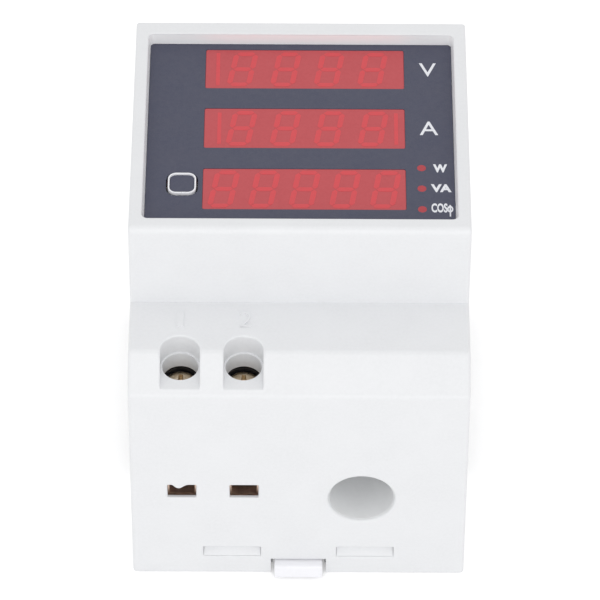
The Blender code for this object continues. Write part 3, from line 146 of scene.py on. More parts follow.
# Finer sizes that only the scene has, or has closer to the photograph
SAME_PLACE = 1e-5  # places closer than this are the same
NEAR_RIM_RADIUS = 0.0011  # the display block's edge above the terminals
DRAFT = 0.0055  # how much of its width the case loses from foot to rim, for the mould
PLASTIC_LIPS = {
    "panel": 0.0003,
    "pocket": 0.0003,
    "well": 0.00004,
    "slot": 0.0003,
    "snap": 0.0003,
}
SLOT_CORNER = 0.0002
PANEL_FIT = 0.00004  # what stays open round the panel
FAR_RIM_EXTRA = 0.0002  # how much wider the rim is at its far end
POCKET_FLOOR = 0.04225
POCKET_SIDE_YS = (-0.0351, -0.0367, -0.038, -0.0387)  # points of its sides over the slope
POCKET_LEAST_DEPTH = 0.0001
POCKET_LIP_SHARE = 0.8  # of the depth, at most
SCREW_TOP = 0.0389
FLASH_LEFT = 0.0016  # from the slot's middle
FLASH_WIDTH = 0.0026
FLASH_DROP = 0.0008
FLASH_INSET = 0.00015  # from the end face
FLASH_SKEW = 0.8
CABLE_HOLE_LIP = 0.0005
CABLE_STEPS = 72
NOSE_WALL = 0.00006
NOSE_FIT = 0.00002
SLEEVE_PLAY = 0.00005
SNAP_FIT = 0.00005
SNAP_FOOT_DROP = 0.0002  # from the end face to the ramp's foot
SNAP_TOP_DROP = 0.0018
PANE_TOP = 0.05979
PANE_EDGE = 0.00005
PANE_FIT = 0.00001
DOT_DIAMETER = 0.0014  # of the red print over each lamp
DOT_THICKNESS = 0.00004
DOT_FIT = 0.00001
BEZEL_RISE = 0.00001
BEZEL_OVERLAP = 0.00008  # past the rim of the lens hole
BEZEL_BRIM = 0.0001  # the part that lies on the panel
INK_THICKNESS = 0.00003
DIGIT_WIDTH = 0.0039
DIGIT_STROKE = 0.00085
DIGIT_SLANT = 0.16
DIGIT_SLIT = 0.12  # between two segments, as a share of the stroke
DIGIT_THICKNESS = 0.00002
BAR_HALF_WIDTH = 0.0003  # of the upright bars beside the digits
KEY_RING = 0.00026
KEY_EDGE = 0.00012
KEY_DISH_DEPTH = 0.00045
KEY_DISH_LIP = 0.0001
KEY_FACE_FOOT = 0.00044  # below the key's top
KEY_FACE_DROP = 0.0003
KEY_FACE_FIT = 0.00004
KEY_FACE_EDGE = 0.00004
KEY_FACE_FLAT = 0.0006  # from its rim to the polygon that closes it
NUMERAL_Y = -0.0273
NUMERAL_HEIGHT = 0.0032
NUMERAL_BOLDNESS = -0.01
NUMERAL_THICKNESS = 0.00022


# Shapes


def new_object(name, bm):
    mesh = bpy.data.meshes.new(name)
    bm.to_mesh(mesh)
    bm.free()
    obj = bpy.data.objects.new(name, mesh)
    bpy.context.scene.collection.objects.link(obj)
    return obj


def arc(centre, radius, start, end, steps):
    angles = [math.radians(start + (end - start) * step / steps) for step in range(steps + 1)]
    return [(centre[0] + radius * math.cos(a), centre[1] + radius * math.sin(a)) for a in angles]


def rounded_rectangle(x, y, width, height, radius, steps=6):
    points = []
    for side, end, start in ((1, 1, 0), (-1, 1, 90), (-1, -1, 180), (1, -1, 270)):
        centre = (x + side * (width / 2 - radius), y + end * (height / 2 - radius))
        points += arc(centre, radius, start, start + 90, steps)
    return points


def grown(outline, distance):
    """A counter-clockwise outline moved outwards, each edge by the same distance."""
    if not distance:
        return outline
    moved = []
    for index, here in enumerate(outline):
        before = Vector(outline[index - 1])
        here = Vector(here)
        after = Vector(outline[(index + 1) % len(outline)])
        into = (here - before).normalized()
        out = (after - here).normalized()
        normal_in = Vector((into.y, -into.x))
        bisector = (normal_in + Vector((out.y, -out.x))).normalized()
        moved.append(tuple(here + bisector * (distance / bisector.dot(normal_in))))
    return moved


PLACERS = {
    "X": lambda a, b, h: (h, a, b),
    "Y": lambda a, b, h: (a, h, b),
    "Z": lambda a, b, h: (a, b, h),
}


def lofted(name, outline, levels, axis):
    """An outline carried through levels of (place along the axis, growth), closed at both ends."""
    place = PLACERS[axis]
    bm = bmesh.new()
    rings = []
    for height, growth in levels:
        points = grown(outline, growth)
        rings.append([bm.verts.new(place(a, b, height)) for a, b in points])
    for low, high in zip(rings, rings[1:]):
        for index in range(len(low)):
            bm.faces.new((low[index - 1], low[index], high[index], high[index - 1]))
    bm.faces.new(rings[0])
    bm.faces.new(rings[-1])
    bmesh.ops.recalc_face_normals(bm, faces=bm.faces)
    return new_object(name, bm)


def prism(name, outline, span, axis):
    return lofted(name, outline, [(span[0], 0), (span[1], 0)], axis)


def lip_levels(inner, face, lip, steps=3):
    """Levels of a cutter that opens out over a rounded lip where it passes a face."""
    way = 1 if face > inner else -1
    levels = [(inner, 0)]
    for step in range(steps + 1):
        angle = math.pi / 2 * step / steps
        levels.append((face - way * lip * (1 - math.sin(angle)), lip * (1 - math.cos(angle))))
    levels.append((face + way * OVERCUT, lip))
    return levels[:: way]


def box(name, x, y, z):
    outline = [(x[0], y[0]), (x[1], y[0]), (x[1], y[1]), (x[0], y[1])]
    return prism(name, outline, z, "Z")


def revolved(name, profile, location=(0, 0, 0), axis="Z", steps=48, ring=False):
    """A profile of (radius, height) turned about an axis. A radius of 0 ends it in a point."""
    bm = bmesh.new()
    rows = []
    for radius, height in profile:
        count = steps if radius else 1
        row = []
        for step in range(count):
            angle = 2 * math.pi * step / steps
            a, b = radius * math.cos(angle), radius * math.sin(angle)
            point = (a, b, height) if axis == "Z" else (a, height, b)
            row.append(bm.verts.new(Vector(point) + Vector(location)))
        rows.append(row)
    if ring:
        rows.append(rows[0])
    for low, high in zip(rows, rows[1:]):
        for step in range(steps):
            corners = [low[step - 1 if len(low) > 1 else 0], low[step if len(low) > 1 else 0]]
            corners += [high[step if len(high) > 1 else 0], high[step - 1 if len(high) > 1 else 0]]
            corners = list(dict.fromkeys(corners))
            if len(corners) > 2:
                bm.faces.new(corners)
    bmesh.ops.recalc_face_normals(bm, faces=bm.faces)
    return new_object(name, bm)


def rod(name, diameter, x, y, z, steps):
    """A cylinder along Z, which spans (low, high)."""
    low, high = z
    profile = [(0, high), (diameter / 2, high), (diameter / 2, low), (0, low)]
    return revolved(name, profile, (x, y, 0), steps=steps)


def bake(obj):
    """Applies the modifiers."""
    graph = bpy.context.evaluated_depsgraph_get()
    mesh = bpy.data.meshes.new_from_object(obj.evaluated_get(graph))
    obj.modifiers.clear()
    obj.data = mesh
    return obj


def combine(target, operation, shapes):
    for shape in shapes:
        boolean = target.modifiers.new(operation, "BOOLEAN")
        boolean.operation = operation
        boolean.object = shape
        boolean.solver = "EXACT"
    bake(target)
    for shape in shapes:
        bpy.data.objects.remove(shape, do_unlink=True)
    return target


def cut(target, *shapes):
    return combine(target, "DIFFERENCE", shapes)


def fuse(target, *shapes):
    return combine(target, "UNION", shapes)


def dress(obj, material, body, slot, *nodes, sharp=30):
    """Smooth shading that keeps flat faces flat, the material, the body it moves with, and the CAD
    nodes it replaces hidden. The slot is not used.
    """
    obj.data.materials.clear()
    obj.data.materials.append(material)
    obj.data.shade_smooth()
    obj.data.set_sharp_from_angle(angle=math.radians(sharp))
    normals = obj.modifiers.new("Normals", "WEIGHTED_NORMAL")
    normals.keep_sharp = True
    normals.weight = 100
    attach(obj, body)
    if nodes:
        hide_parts(*nodes)
    return obj


# Materials


def linear(channel):
    value = channel / 255
    return value / 12.92 if value <= 0.04045 else ((value + 0.055) / 1.055) ** 2.4


def rgba(colour):
    return (*[linear(channel) for channel in colour], 1)


class Surface:
    """A Principled material and short calls for the nodes that drive it."""

    def __init__(self, name, colour, roughness, metallic=0.0):
        self.material = bpy.data.materials.new(name)
        self.material.use_nodes = True
        self.tree = self.material.node_tree
        self.shader = self.tree.nodes["Principled BSDF"]
        self.colour = colour
        self.shader.inputs["Base Color"].default_value = rgba(colour)
        self.shader.inputs["Roughness"].default_value = roughness
        self.shader.inputs["Metallic"].default_value = metallic
        self.place = self.node("ShaderNodeTexCoord").outputs["Object"]
        self.paint = None
        self.relief = None

    def node(self, kind, **values):
        made = self.tree.nodes.new(kind)
        for name, value in values.items():
            if hasattr(made, name):
                setattr(made, name, value)
            else:
                made.inputs[name.replace("_", " ")].default_value = value
        return made

    def link(self, start, end):
        self.tree.links.new(start, end)

    def noise(self, size, detail=2.0, stretch=None):
        """Noise whose features are about the given size in metres."""
        texture = self.node("ShaderNodeTexNoise", Scale=1 / size, Detail=detail)
        start = self.place
        if stretch:
            mapping = self.node("ShaderNodeMapping", Scale=stretch)
            self.link(start, mapping.inputs["Vector"])
            start = mapping.outputs["Vector"]
        self.link(start, texture.inputs["Vector"])
        return texture.outputs["Fac"]

    def ranged(self, value, low, high, source=(0.3, 0.7)):
        node = self.node("ShaderNodeMapRange")
        self.link(value, node.inputs["Value"])
        for name, number in zip(("From Min", "From Max", "To Min", "To Max"), (*source, low, high)):
            node.inputs[name].default_value = number
        return node.outputs["Result"]

    def calc(self, operation, *values):
        """A maths node on sockets and numbers."""
        made = self.node("ShaderNodeMath", operation=operation)
        for socket, value in zip(made.inputs, values):
            if isinstance(value, float):
                socket.default_value = value
            else:
                self.link(value, socket)
        return made.outputs[0]

    def blend(self, factor, colour):
        """Paints a colour, 0 to 255, over the present one where factor is 1."""
        mix = self.node("ShaderNodeMix", data_type="RGBA")
        self.link(factor, mix.inputs["Factor"])
        if self.paint is None:
            mix.inputs[6].default_value = rgba(self.colour)
        else:
            self.link(self.paint, mix.inputs[6])
        mix.inputs[7].default_value = rgba(colour)
        self.paint = mix.outputs[2]
        self.link(self.paint, self.shader.inputs["Base Color"])
        return self

    def rough(self, value, low, high):
        self.link(self.ranged(value, low, high), self.shader.inputs["Roughness"])
        return self

    def bump(self, value, depth):
        """Raises the surface by up to the given depth in metres."""
        node = self.node("ShaderNodeBump", Strength=1.0, Distance=depth)
        self.link(value, node.inputs["Height"])
        if self.relief is not None:
            self.link(self.relief, node.inputs["Normal"])
        self.relief = node.outputs["Normal"]
        self.link(self.relief, self.shader.inputs["Normal"])
        return self

    def set(self, **values):
        for name, value in values.items():
            self.shader.inputs[name.replace("_", " ")].default_value = value
        return self


def toned(colour, change):
    return tuple(max(0, min(255, channel + change)) for channel in colour)


def moulded(name, colour, roughness, grain=0.00012, depth=0.0000022, tone=3):
    """Moulded plastic: a fine spark-eroded grain, faint flow marks and slightly uneven gloss."""
    s = Surface(name, colour, roughness)
    s.blend(s.ranged(s.noise(0.006, 3), 0, 1), toned(colour, -tone))
    s.blend(s.ranged(s.noise(0.0005, 2), 0, 0.5), toned(colour, tone))
    s.rough(s.noise(0.0025, 3), roughness - 0.06, roughness + 0.06)
    s.bump(s.noise(0.0011, 2), depth * 2)
    s.bump(s.noise(grain, 2), depth)
    return s


def case_white():
    """The case's plastic, painted lighter on the walls of the panel's recess: painted light that
    stands in for the light those walls lose beside the dark panel.
    """
    s = moulded("white_abs", (232, 233, 235), 0.42)
    places = s.node("ShaderNodeSeparateXYZ")
    s.link(s.place, places.inputs[0])
    x, y, z = (s.calc("ABSOLUTE", place) for place in places.outputs)
    across = s.calc("LESS_THAN", x, SIDE_X - RIM_SIDE)
    along = s.calc("LESS_THAN", y, BLOCK_Y - RIM_END)
    above = s.calc("GREATER_THAN", z, PANEL_TOP - OVERCUT)
    below = s.calc("LESS_THAN", z, CASE_DEPTH - PLASTIC_LIPS["panel"])
    recess_wall_painted_light = s.calc("MULTIPLY", s.calc("MULTIPLY", across, along), s.calc("MULTIPLY", above, below))
    # Painted light: the recess walls get a lighter colour than the rest of the case, to offset the
    # shade they fall into.
    return s.blend(recess_wall_painted_light, (250, 250, 251)).material


WHITE = case_white()
CLIP_WHITE = moulded("clip_white", (246, 246, 250), 0.4, tone=2).material
TUBE_WHITE = moulded("tube_white", (243, 244, 245), 0.5).material
BLACK_RESIN = moulded("black_resin", (38, 38, 40), 0.45, 0.0002, 0.000004, 4).material
FERRITE = moulded("black_coating", (46, 48, 52), 0.6, 0.0003, 0.00001, 6).material
YELLOW_FILM = moulded("yellow_film", (214, 182, 70), 0.4, 0.0004, 0.000004, 5).material
BLUE_SLEEVE = moulded("blue_sleeve", (44, 70, 128), 0.32, 0.0006, 0.000004, 6).material


def printed_sheet():
    s = Surface("dark_panel", (73, 75, 93), 0.5)
    s.blend(s.ranged(s.noise(0.004, 3), 0, 1), (69, 72, 92))
    s.blend(s.ranged(s.noise(0.00022, 2), 0, 0.6), (84, 85, 100))
    s.rough(s.noise(0.0007, 2), 0.5, 0.66)
    s.bump(s.noise(0.00018, 2), 0.000003)
    return s.set(Specular_IOR_Level=0.42).material


def red_sheet():
    s = Surface("red_acrylic", (190, 72, 78), 0.4)
    s.blend(s.ranged(s.noise(0.005, 3), 0, 1), (186, 69, 75))
    s.blend(s.ranged(s.noise(0.0004, 2), 0, 0.6), (194, 77, 82))
    s.rough(s.noise(0.0012, 2), 0.3, 0.4)
    return s.bump(s.noise(0.0003, 2), 0.0000015).material


def red_segment():
    s = Surface("unlit_segment", (215, 68, 75), 0.4)
    s.blend(s.ranged(s.noise(0.0006, 2), 0, 0.7), (206, 70, 77))
    return s.bump(s.noise(0.0003, 2), 0.0000015).material


def red_lens():
    s = Surface("red_lens", (178, 60, 68), 0.5)
    s.blend(s.ranged(s.noise(0.0006, 2), 0, 0.8), (170, 56, 66))
    return s.bump(s.noise(0.0004, 2), 0.000002).material


def marking_ink():
    s = Surface("marking_ink", (240, 241, 245), 0.5)
    s.blend(s.ranged(s.noise(0.0002, 2), 0, 0.8), (226, 228, 236))
    return s.bump(s.noise(0.00015, 2), 0.000002).material


def solder_mask():
    s = Surface("board_green", (34, 92, 58), 0.4)
    tracks = s.node("ShaderNodeTexBrick", Scale=240.0, Mortar_Size=0.012, Mortar_Smooth=0.2)
    s.link(s.place, tracks.inputs["Vector"])
    s.blend(tracks.outputs["Fac"], (58, 124, 76))
    s.blend(s.ranged(s.noise(0.002, 3), 0, 0.5), (28, 80, 52))
    s.rough(s.noise(0.0015, 2), 0.32, 0.46)
    return s.bump(tracks.outputs["Fac"], 0.00003).material


def metal(name, colour, dull, roughness):
    """Metal with drawn or turned marks, and duller patches."""
    s = Surface(name, colour, roughness, 1.0)
    s.blend(s.ranged(s.noise(0.0016, 4), 0, 1), dull)
    s.blend(s.ranged(s.noise(0.0003, 3), 0, 0.4, (0.5, 0.8)), toned(dull, -18))
    s.rough(s.noise(0.0012, 3), roughness - 0.08, roughness + 0.12)
    s.bump(s.noise(0.0005, 3, (1, 1, 8)), 0.000006)
    return s.material


STEEL = metal("plated_steel", (188, 182, 170), (160, 152, 138), 0.3)
GOLDEN_STEEL = metal("golden_steel", (244, 230, 206), (214, 192, 160), 0.34)
BRASS = metal("brass", (242, 218, 202), (220, 192, 172), 0.45)
COPPER = metal("tinned_copper", (196, 150, 124), (170, 122, 98), 0.32)
PANEL = printed_sheet()
RED_ACRYLIC = red_sheet()
SEGMENT = red_segment()
RED_LENS = red_lens()
INK = marking_ink()
BOARD = solder_mask()

CAD_MATERIALS = {
    "white_abs": WHITE,
    "clip_white": CLIP_WHITE,
    "dark_panel": PANEL,
    "red_acrylic": RED_ACRYLIC,
    "red_lens": RED_LENS,
    "black_resin": BLACK_RESIN,
    "board_green": BOARD,
    "plated_steel": STEEL,
    "brass": BRASS,
    "tinned_copper": COPPER,
    "yellow_film": YELLOW_FILM,
    "blue_sleeve": BLUE_SLEEVE,
    "black_coating": FERRITE,
}


def dress_cad_nodes():
    """Gives every CAD node the procedural material of its slot."""
    for subpart in frame["record"]["subparts"]:
        obj = frame["nodes"][subpart["node"]]
        obj.data.materials.clear()
        obj.data.materials.append(CAD_MATERIALS[subpart["material_slot"]])


# Housing


def side_outline():
    slope_foot = SHOULDER_Z - SLOPE_DROP
    right = [
        (END_Y, 0),
        (END_Y, slope_foot),
        (END_Y - SLOPE_RUN, SHOULDER_Z),
        (BLOCK_Y, SHOULDER_Z),
        (BLOCK_Y, CASE_DEPTH),
    ]
    return right + [(-y, z) for y, z in reversed(right)]


def case_block():
    """The case's outer form: drafted for its mould, edges rounded, the risers' feet left sharp."""
    block = prism("housing_shell", side_outline(), (-SIDE_X, SIDE_X), "X")
    weights = block.data.attributes.new("bevel_weight_edge", "FLOAT", "EDGE")
    for edge in block.data.edges:
        ends = [block.data.vertices[index].co for index in edge.vertices]
        middle = (ends[0] + ends[1]) / 2
        across = abs(middle.x) < SAME_PLACE
        riser = abs(abs(middle.y) - BLOCK_Y) < SAME_PLACE
        if across and riser and abs(middle.z - SHOULDER_Z) < SAME_PLACE:
            continue
        near_rim = across and riser and middle.y < 0
        weights.data[edge.index].value = 1 if near_rim else EDGE_RADIUS / NEAR_RIM_RADIUS
    rounding = block.modifiers.new("Rounding", "BEVEL")
    rounding.limit_method = "WEIGHT"
    rounding.offset_type = "OFFSET"
    rounding.width = NEAR_RIM_RADIUS
    rounding.segments = 6
    bake(block)
    for vert in block.data.vertices:
        vert.co.x *= 1 - DRAFT * vert.co.z / CASE_DEPTH
    return block


def case_cavity():
    outline = []
    for y, z in grown(side_outline(), -WALL):
        if z < WALL * 2:
            z = -OVERCUT
        outline.append((y, min(z, WALL_FOOT)))
    half = SIDE_X * (1 - DRAFT) - WALL
    return prism("Cavity", outline, (-half, half), "X")


def terminal_roof():
    half_wall = grown(side_outline(), -WALL / 2)
    slope_top, slope_foot = half_wall[-3], half_wall[-2]
    outline = [
        (slope_foot[0], WELL_FOOT),
        (TERMINAL_BACK, WELL_FOOT),
        (TERMINAL_BACK, slope_top[1]),
        slope_top,
        slope_foot,
    ]
    half = TERMINAL_BLOCK_WIDTH / 2
    return prism("Terminal roof", outline, (TERMINALS_X - half, TERMINALS_X + half), "X")


def surface_height(y):
    """The height of the shoulder and of the slope beyond it."""
    past = max(0.0, -y - (END_Y - SLOPE_RUN))
    return SHOULDER_Z - past * SLOPE_DROP / SLOPE_RUN


def screw_pocket(x):
    """The U-shaped pocket that runs out through the slope, its upper edge softened all along."""
    radius = POCKET_WIDTH / 2
    side_ys = (*POCKET_SIDE_YS, -END_Y - OVERCUT)
    outline = arc((x, WELL_Y), radius, 0, 180, 24)
    outline += [(x - radius, y) for y in side_ys] + [(x + radius, y) for y in reversed(side_ys)]
    directions = [Vector(far) - Vector(near) for near, far in zip(outline, grown(outline, 1))]
    angles = [math.pi / 2 * step / 3 for step in range(4)]
    above_all = (4, 1)
    bm = bmesh.new()
    rings = [[bm.verts.new((a, b, POCKET_FLOOR)) for a, b in outline]]
    for rise, growth in [(math.sin(a) - 1, 1 - math.cos(a)) for a in angles] + [above_all]:
        ring = []
        for (a, b), direction in zip(outline, directions):
            depth = max(surface_height(b) - POCKET_FLOOR, POCKET_LEAST_DEPTH)
            lip = min(PLASTIC_LIPS["pocket"], depth * POCKET_LIP_SHARE)
            outward = direction * lip * growth
            height = POCKET_FLOOR + depth + lip * rise
            ring.append(bm.verts.new((a + outward.x, b + outward.y, height)))
        rings.append(ring)
    for low, high in zip(rings, rings[1:]):
        for index in range(len(low)):
            bm.faces.new((low[index - 1], low[index], high[index], high[index - 1]))
    bm.faces.new(rings[0])
    bm.faces.new(rings[-1])
    bmesh.ops.triangulate(bm, faces=bm.faces[:])
    bmesh.ops.recalc_face_normals(bm, faces=bm.faces)
    return new_object("Pocket", bm)


def screw_well(x):
    radius = WELL_DIAMETER / 2
    lip = PLASTIC_LIPS["well"]
    profile = [(0, SHOULDER_Z), (radius + lip, SHOULDER_Z)]
    profile += arc((radius + lip, POCKET_FLOOR - lip), lip, 90, 180, 3)
    profile += [(radius, WELL_FOOT - OVERCUT), (0, WELL_FOOT - OVERCUT)]
    return revolved("Well", profile, (x, WELL_Y, 0))


def wire_slot(x):
    """Cutters for the slot in the end face and for the thinned wall behind it."""
    middle_z = WIRE_SLOT_Z + WIRE_SLOT_HEIGHT / 2
    outline = rounded_rectangle(x, middle_z, WIRE_SLOT_WIDTH, WIRE_SLOT_HEIGHT, SLOT_CORNER, 3)
    levels = lip_levels(WALL + BITE - END_Y, -END_Y, PLASTIC_LIPS["slot"])
    half = CAGE_WIDTH / 2 + GAP
    relief_y = (WIRE_SLOT_SKIN - END_Y, WALL + BITE - END_Y)
    relief = box("Cage relief", (x - half, x + half), relief_y, (CHAMBER_FOOT, CHAMBER_TOP))
    return lofted("Wire slot", outline, levels, "Y"), relief


def mould_flash(x):
    """A thin burr that hangs into the top of the first wire slot."""
    left = x - FLASH_LEFT
    top = WIRE_SLOT_Z + WIRE_SLOT_HEIGHT + PLASTIC_LIPS["slot"]
    steps = 12
    outline = [(left + FLASH_WIDTH, top + BITE), (left, top + BITE)]
    for step in range(steps + 1):
        share = step / steps
        hang = PLASTIC_LIPS["slot"] + FLASH_DROP * math.sin(math.pi * share ** FLASH_SKEW) ** 2
        outline.append((left + FLASH_WIDTH * share, top - hang))
    return prism("Flash", outline, (FLASH_INSET - END_Y, WIRE_SLOT_SKIN - END_Y), "Y")


def cable_bore():
    """The cable hole through both end walls, its outer edges rolled over."""
    radius = CABLE_HOLE / 2 + NOSE_WALL + NOSE_FIT
    lip = CABLE_HOLE_LIP
    top = [(0, END_Y + OVERCUT), (radius + lip, END_Y + OVERCUT)]
    top += arc((radius + lip, END_Y - lip), lip, 90, 180, 7)
    profile = top + [(r, -y) for r, y in reversed(top)]
    return revolved("Cable bore", profile, (CABLE_X, 0, CABLE_Z), "Y", CABLE_STEPS)


def snap_windows():
    windows = []
    middle_z = SNAP_Z + SNAP_HEIGHT / 2
    for end in (-1, 1):
        levels = lip_levels(end * (END_Y - WALL - BITE), end * END_Y, PLASTIC_LIPS["snap"])
        for side in (-1, 1):
            outline = rounded_rectangle(
                side * SNAP_X, middle_z, SNAP_WIDTH, SNAP_HEIGHT, SLOT_CORNER, 3
            )
            windows.append(lofted("Snap window", outline, levels, "Y"))
    return windows


def window_outline(y, inset=0.0):
    width, height = WINDOW_WIDTH - 2 * inset, WINDOW_HEIGHT - 2 * inset
    return rounded_rectangle(WINDOWS_X, y, width, height, WINDOW_CORNER, 2)


def panel_recess():
    """Upright up to the panel, then leaning out to a softened edge at the rim."""
    outline = rounded_rectangle(0, 0, PANEL_WIDTH, PANEL_LENGTH, PANEL_CORNER)
    spread = SIDE_X - RIM_SIDE - PANEL_WIDTH / 2
    lip = PLASTIC_LIPS["panel"]
    levels = [(WALL_TOP, PANEL_FIT), (PANEL_TOP, PANEL_FIT)]
    for z, growth in lip_levels(PANEL_TOP, CASE_DEPTH, lip)[1:]:
        levels.append((z, spread - lip + growth))
    recess = lofted("Recess", outline, levels, "Z")
    for vert in recess.data.vertices:
        if vert.co.y > 0 and vert.co.z > PANEL_TOP + PANEL_FIT:
            vert.co.y -= FAR_RIM_EXTRA
    return recess


def housing():
    """The moulded case, with its openings."""
    shell = cut(case_block(), case_cavity())
    x = (-SIDE_X - OVERCUT, SIDE_X + OVERCUT)
    rail = box("Rail notch", x, (-CHANNEL_Y, CHANNEL_Y), (-OVERCUT, SEAT_Z))
    half = CLIP_WIDTH / 2 + CLIP_NOTCH_SIDE
    y = (-END_Y - OVERCUT, WALL + BITE - END_Y)
    notch = box("Clip notch", (-half, half), y, (-OVERCUT, CLIP_NOTCH_TOP))
    cut(shell, rail, notch)
    fuse(shell, terminal_roof())
    cut(shell, panel_recess())
    through = (WALL_FOOT - OVERCUT, WALL_TOP + OVERCUT)
    for y in WINDOW_YS:
        cut(shell, prism("Window", window_outline(y), through, "Z"))
    key = rounded_rectangle(
        KEY_X, KEY_Y, KEY_WIDTH + 2 * GAP, KEY_LENGTH + 2 * GAP, KEY_CORNER + GAP
    )
    cut(shell, prism("Key opening", key, through, "Z"))
    cut(shell, *[rod("Lens hole", LED_HOLE, LED_X, y, through, 16) for y in LED_YS])
    for x in POLE_XS:
        cut(shell, screw_pocket(x), screw_well(x), *wire_slot(x))
    fuse(shell, mould_flash(POLE_XS[0]))
    cut(shell, cable_bore(), *snap_windows())
    return dress(shell, WHITE, "case", "white_abs", "housing")


# Panel


def glyphs(name, text, x, y, z, width, height, boldness, thickness=INK_THICKNESS):
    """Characters as a thin raised layer, stretched to a width and a height about a middle."""
    curve = bpy.data.curves.new(name, "FONT")
    curve.body = text
    curve.size = 1
    curve.offset = boldness
    curve.extrude = 0.5
    curve.resolution_u = 4
    guide = bpy.data.objects.new(name, curve)
    bpy.context.scene.collection.objects.link(guide)
    graph = bpy.context.evaluated_depsgraph_get()
    mesh = bpy.data.meshes.new_from_object(guide.evaluated_get(graph))
    bpy.data.objects.remove(guide)
    bpy.data.curves.remove(curve)
    bm = bmesh.new()
    bm.from_mesh(mesh)
    bpy.data.meshes.remove(mesh)
    bmesh.ops.remove_doubles(bm, verts=bm.verts, dist=1e-4)
    bmesh.ops.recalc_face_normals(bm, faces=bm.faces)
    low = Vector([min(v.co[i] for v in bm.verts) for i in range(3)])
    high = Vector([max(v.co[i] for v in bm.verts) for i in range(3)])
    scale = Vector((width / (high.x - low.x), height / (high.y - low.y), thickness))
    middle = (low + high) / 2
    for v in bm.verts:
        v.co = Vector(((v.co[i] - middle[i]) * scale[i] for i in range(3)))
        v.co += Vector((x, y, z + thickness / 2))
    return new_object(name, bm)


# Name, text, x, y, width, height and boldness of each mark
MARKS = (
    ("mark_volts", "V", 0.0202, 0.01475, 0.0027, 0.00305, 0.002),
    ("mark_amps", "A", 0.0202, 0.0013, 0.0029, 0.00305, 0.002),
    ("mark_watts", "W", 0.0218, -0.0077, 0.0022, 0.0018, 0.05),
    ("mark_volt_amps", "VA", 0.0219, -0.0121, 0.0032, 0.00175, 0.045),
    ("mark_cosine", "COS", 0.02155, -0.01645, 0.0025, 0.0020, 0.035),
)


def mark_phi():
    """The angle's sign, with its stem below the line."""
    x, y = 0.0232, -0.0167
    outer, inner, stretch = 0.00048, 0.00024, 1.5
    stem_half, stem_below, stem_above = 0.00011, 0.0016, 0.0009
    profile = [(outer, INK_THICKNESS), (outer, 0), (inner, 0), (inner, INK_THICKNESS)]
    bowl = revolved("mark_phi", profile, (0, 0, PANEL_TOP), steps=24, ring=True)
    for vert in bowl.data.vertices:
        vert.co = (vert.co.x + x, vert.co.y * stretch + y, vert.co.z)
    stem_x = (x - stem_half, x + stem_half)
    stem_y = (y - stem_below, y + stem_above)
    fuse(bowl, box("Stem", stem_x, stem_y, (PANEL_TOP, PANEL_TOP + INK_THICKNESS)))
    dress(bowl, INK, "case", "white_abs")


# Of each window: the digits' name, count, first place from the window's left end, pitch and height,
# and the upright bars beside them as (place, share of that height)
DIGIT_ROWS = (
    ("digits_volts", 4, 0.0059, 0.0069, 0.0079, ((0.002, 0.95),)),
    ("digits_amps", 4, 0.0059, 0.0069, 0.0079, ((0.0024, 0.9), (0.0302, 0.9))),
    ("digits_watts", 5, 0.0033, 0.00628, 0.0082, ()),
)


def segment_outlines(width, height, thickness, slant):
    """The seven bars of a leaning digit, as outlines about its middle."""
    half_w, half_h, t = width / 2 - thickness / 2, height / 2 - thickness / 2, thickness / 2
    slit = thickness * DIGIT_SLIT

    def bar(x0, y0, x1, y1):
        along = Vector((x1 - x0, y1 - y0)).normalized()
        across = Vector((-along.y, along.x)) * t
        a = Vector((x0, y0)) + along * slit
        b = Vector((x1, y1)) - along * slit
        points = (a, a + along * t - across, b - along * t - across, b, b - along * t + across)
        points += (a + along * t + across,)
        return [(p.x + p.y * slant, p.y) for p in points]

    bars = [bar(-half_w, side * half_h, half_w, side * half_h) for side in (-1, 0, 1)]
    for side in (-1, 1):
        x = side * half_w
        bars += [bar(x, -half_h, x, 0), bar(x, 0, x, half_h)]
    return bars


def digit_row(name, y, centres, bars, height):
    """The unlit digits of one window, which show faintly through the red sheet."""
    outlines = []
    for centre in centres:
        for outline in segment_outlines(DIGIT_WIDTH, height, DIGIT_STROKE, DIGIT_SLANT):
            outlines.append([(px + centre, py + y) for px, py in outline])
    for centre, reach in bars:
        left, right = centre - BAR_HALF_WIDTH, centre + BAR_HALF_WIDTH
        low, high = y - height / 2 * reach, y + height / 2 * reach
        outlines.append([(left, low), (right, low), (right, high), (left, high)])
    bm = bmesh.new()
    for outline in outlines:
        low = [bm.verts.new((px, py, PANE_TOP)) for px, py in outline]
        high = [bm.verts.new((px, py, PANE_TOP + DIGIT_THICKNESS)) for px, py in outline]
        for index in range(len(low)):
            bm.faces.new((low[index - 1], low[index], high[index], high[index - 1]))
        bm.faces.new(low)
        bm.faces.new(high)
    bmesh.ops.recalc_face_normals(bm, faces=bm.faces)
    return dress(new_object(name, bm), SEGMENT, "case", "red_lens")


def filter_sheet():
    """The red sheet behind the panel, its panes standing in the windows."""
    outline = rounded_rectangle(0, 0, PANEL_WIDTH, PANEL_LENGTH, PANEL_CORNER)
    sheet = prism("filter_sheet", outline, (FILTER_FOOT, FILTER_TOP), "Z")
    levels = [(FILTER_TOP - BITE, 0), (PANE_TOP - PANE_EDGE, 0), (PANE_TOP, -PANE_EDGE)]
    for y in WINDOW_YS:
        fuse(sheet, lofted("Pane", window_outline(y, PANE_FIT), levels, "Z"))
    through = (FILTER_FOOT - OVERCUT, FILTER_TOP + OVERCUT)
    wide = 2 * GAP + 2 * BITE
    key_way = rounded_rectangle(
        KEY_X, KEY_Y, KEY_WIDTH + wide, KEY_LENGTH + wide, KEY_CORNER + BITE
    )
    cut(sheet, prism("Key way", key_way, through, "Z"))
    cut(sheet, *[rod("Lens way", LED_HOLE, LED_X, y, through, 16) for y in LED_YS])
    dress(sheet, RED_ACRYLIC, "case", "red_acrylic", "display_filter")


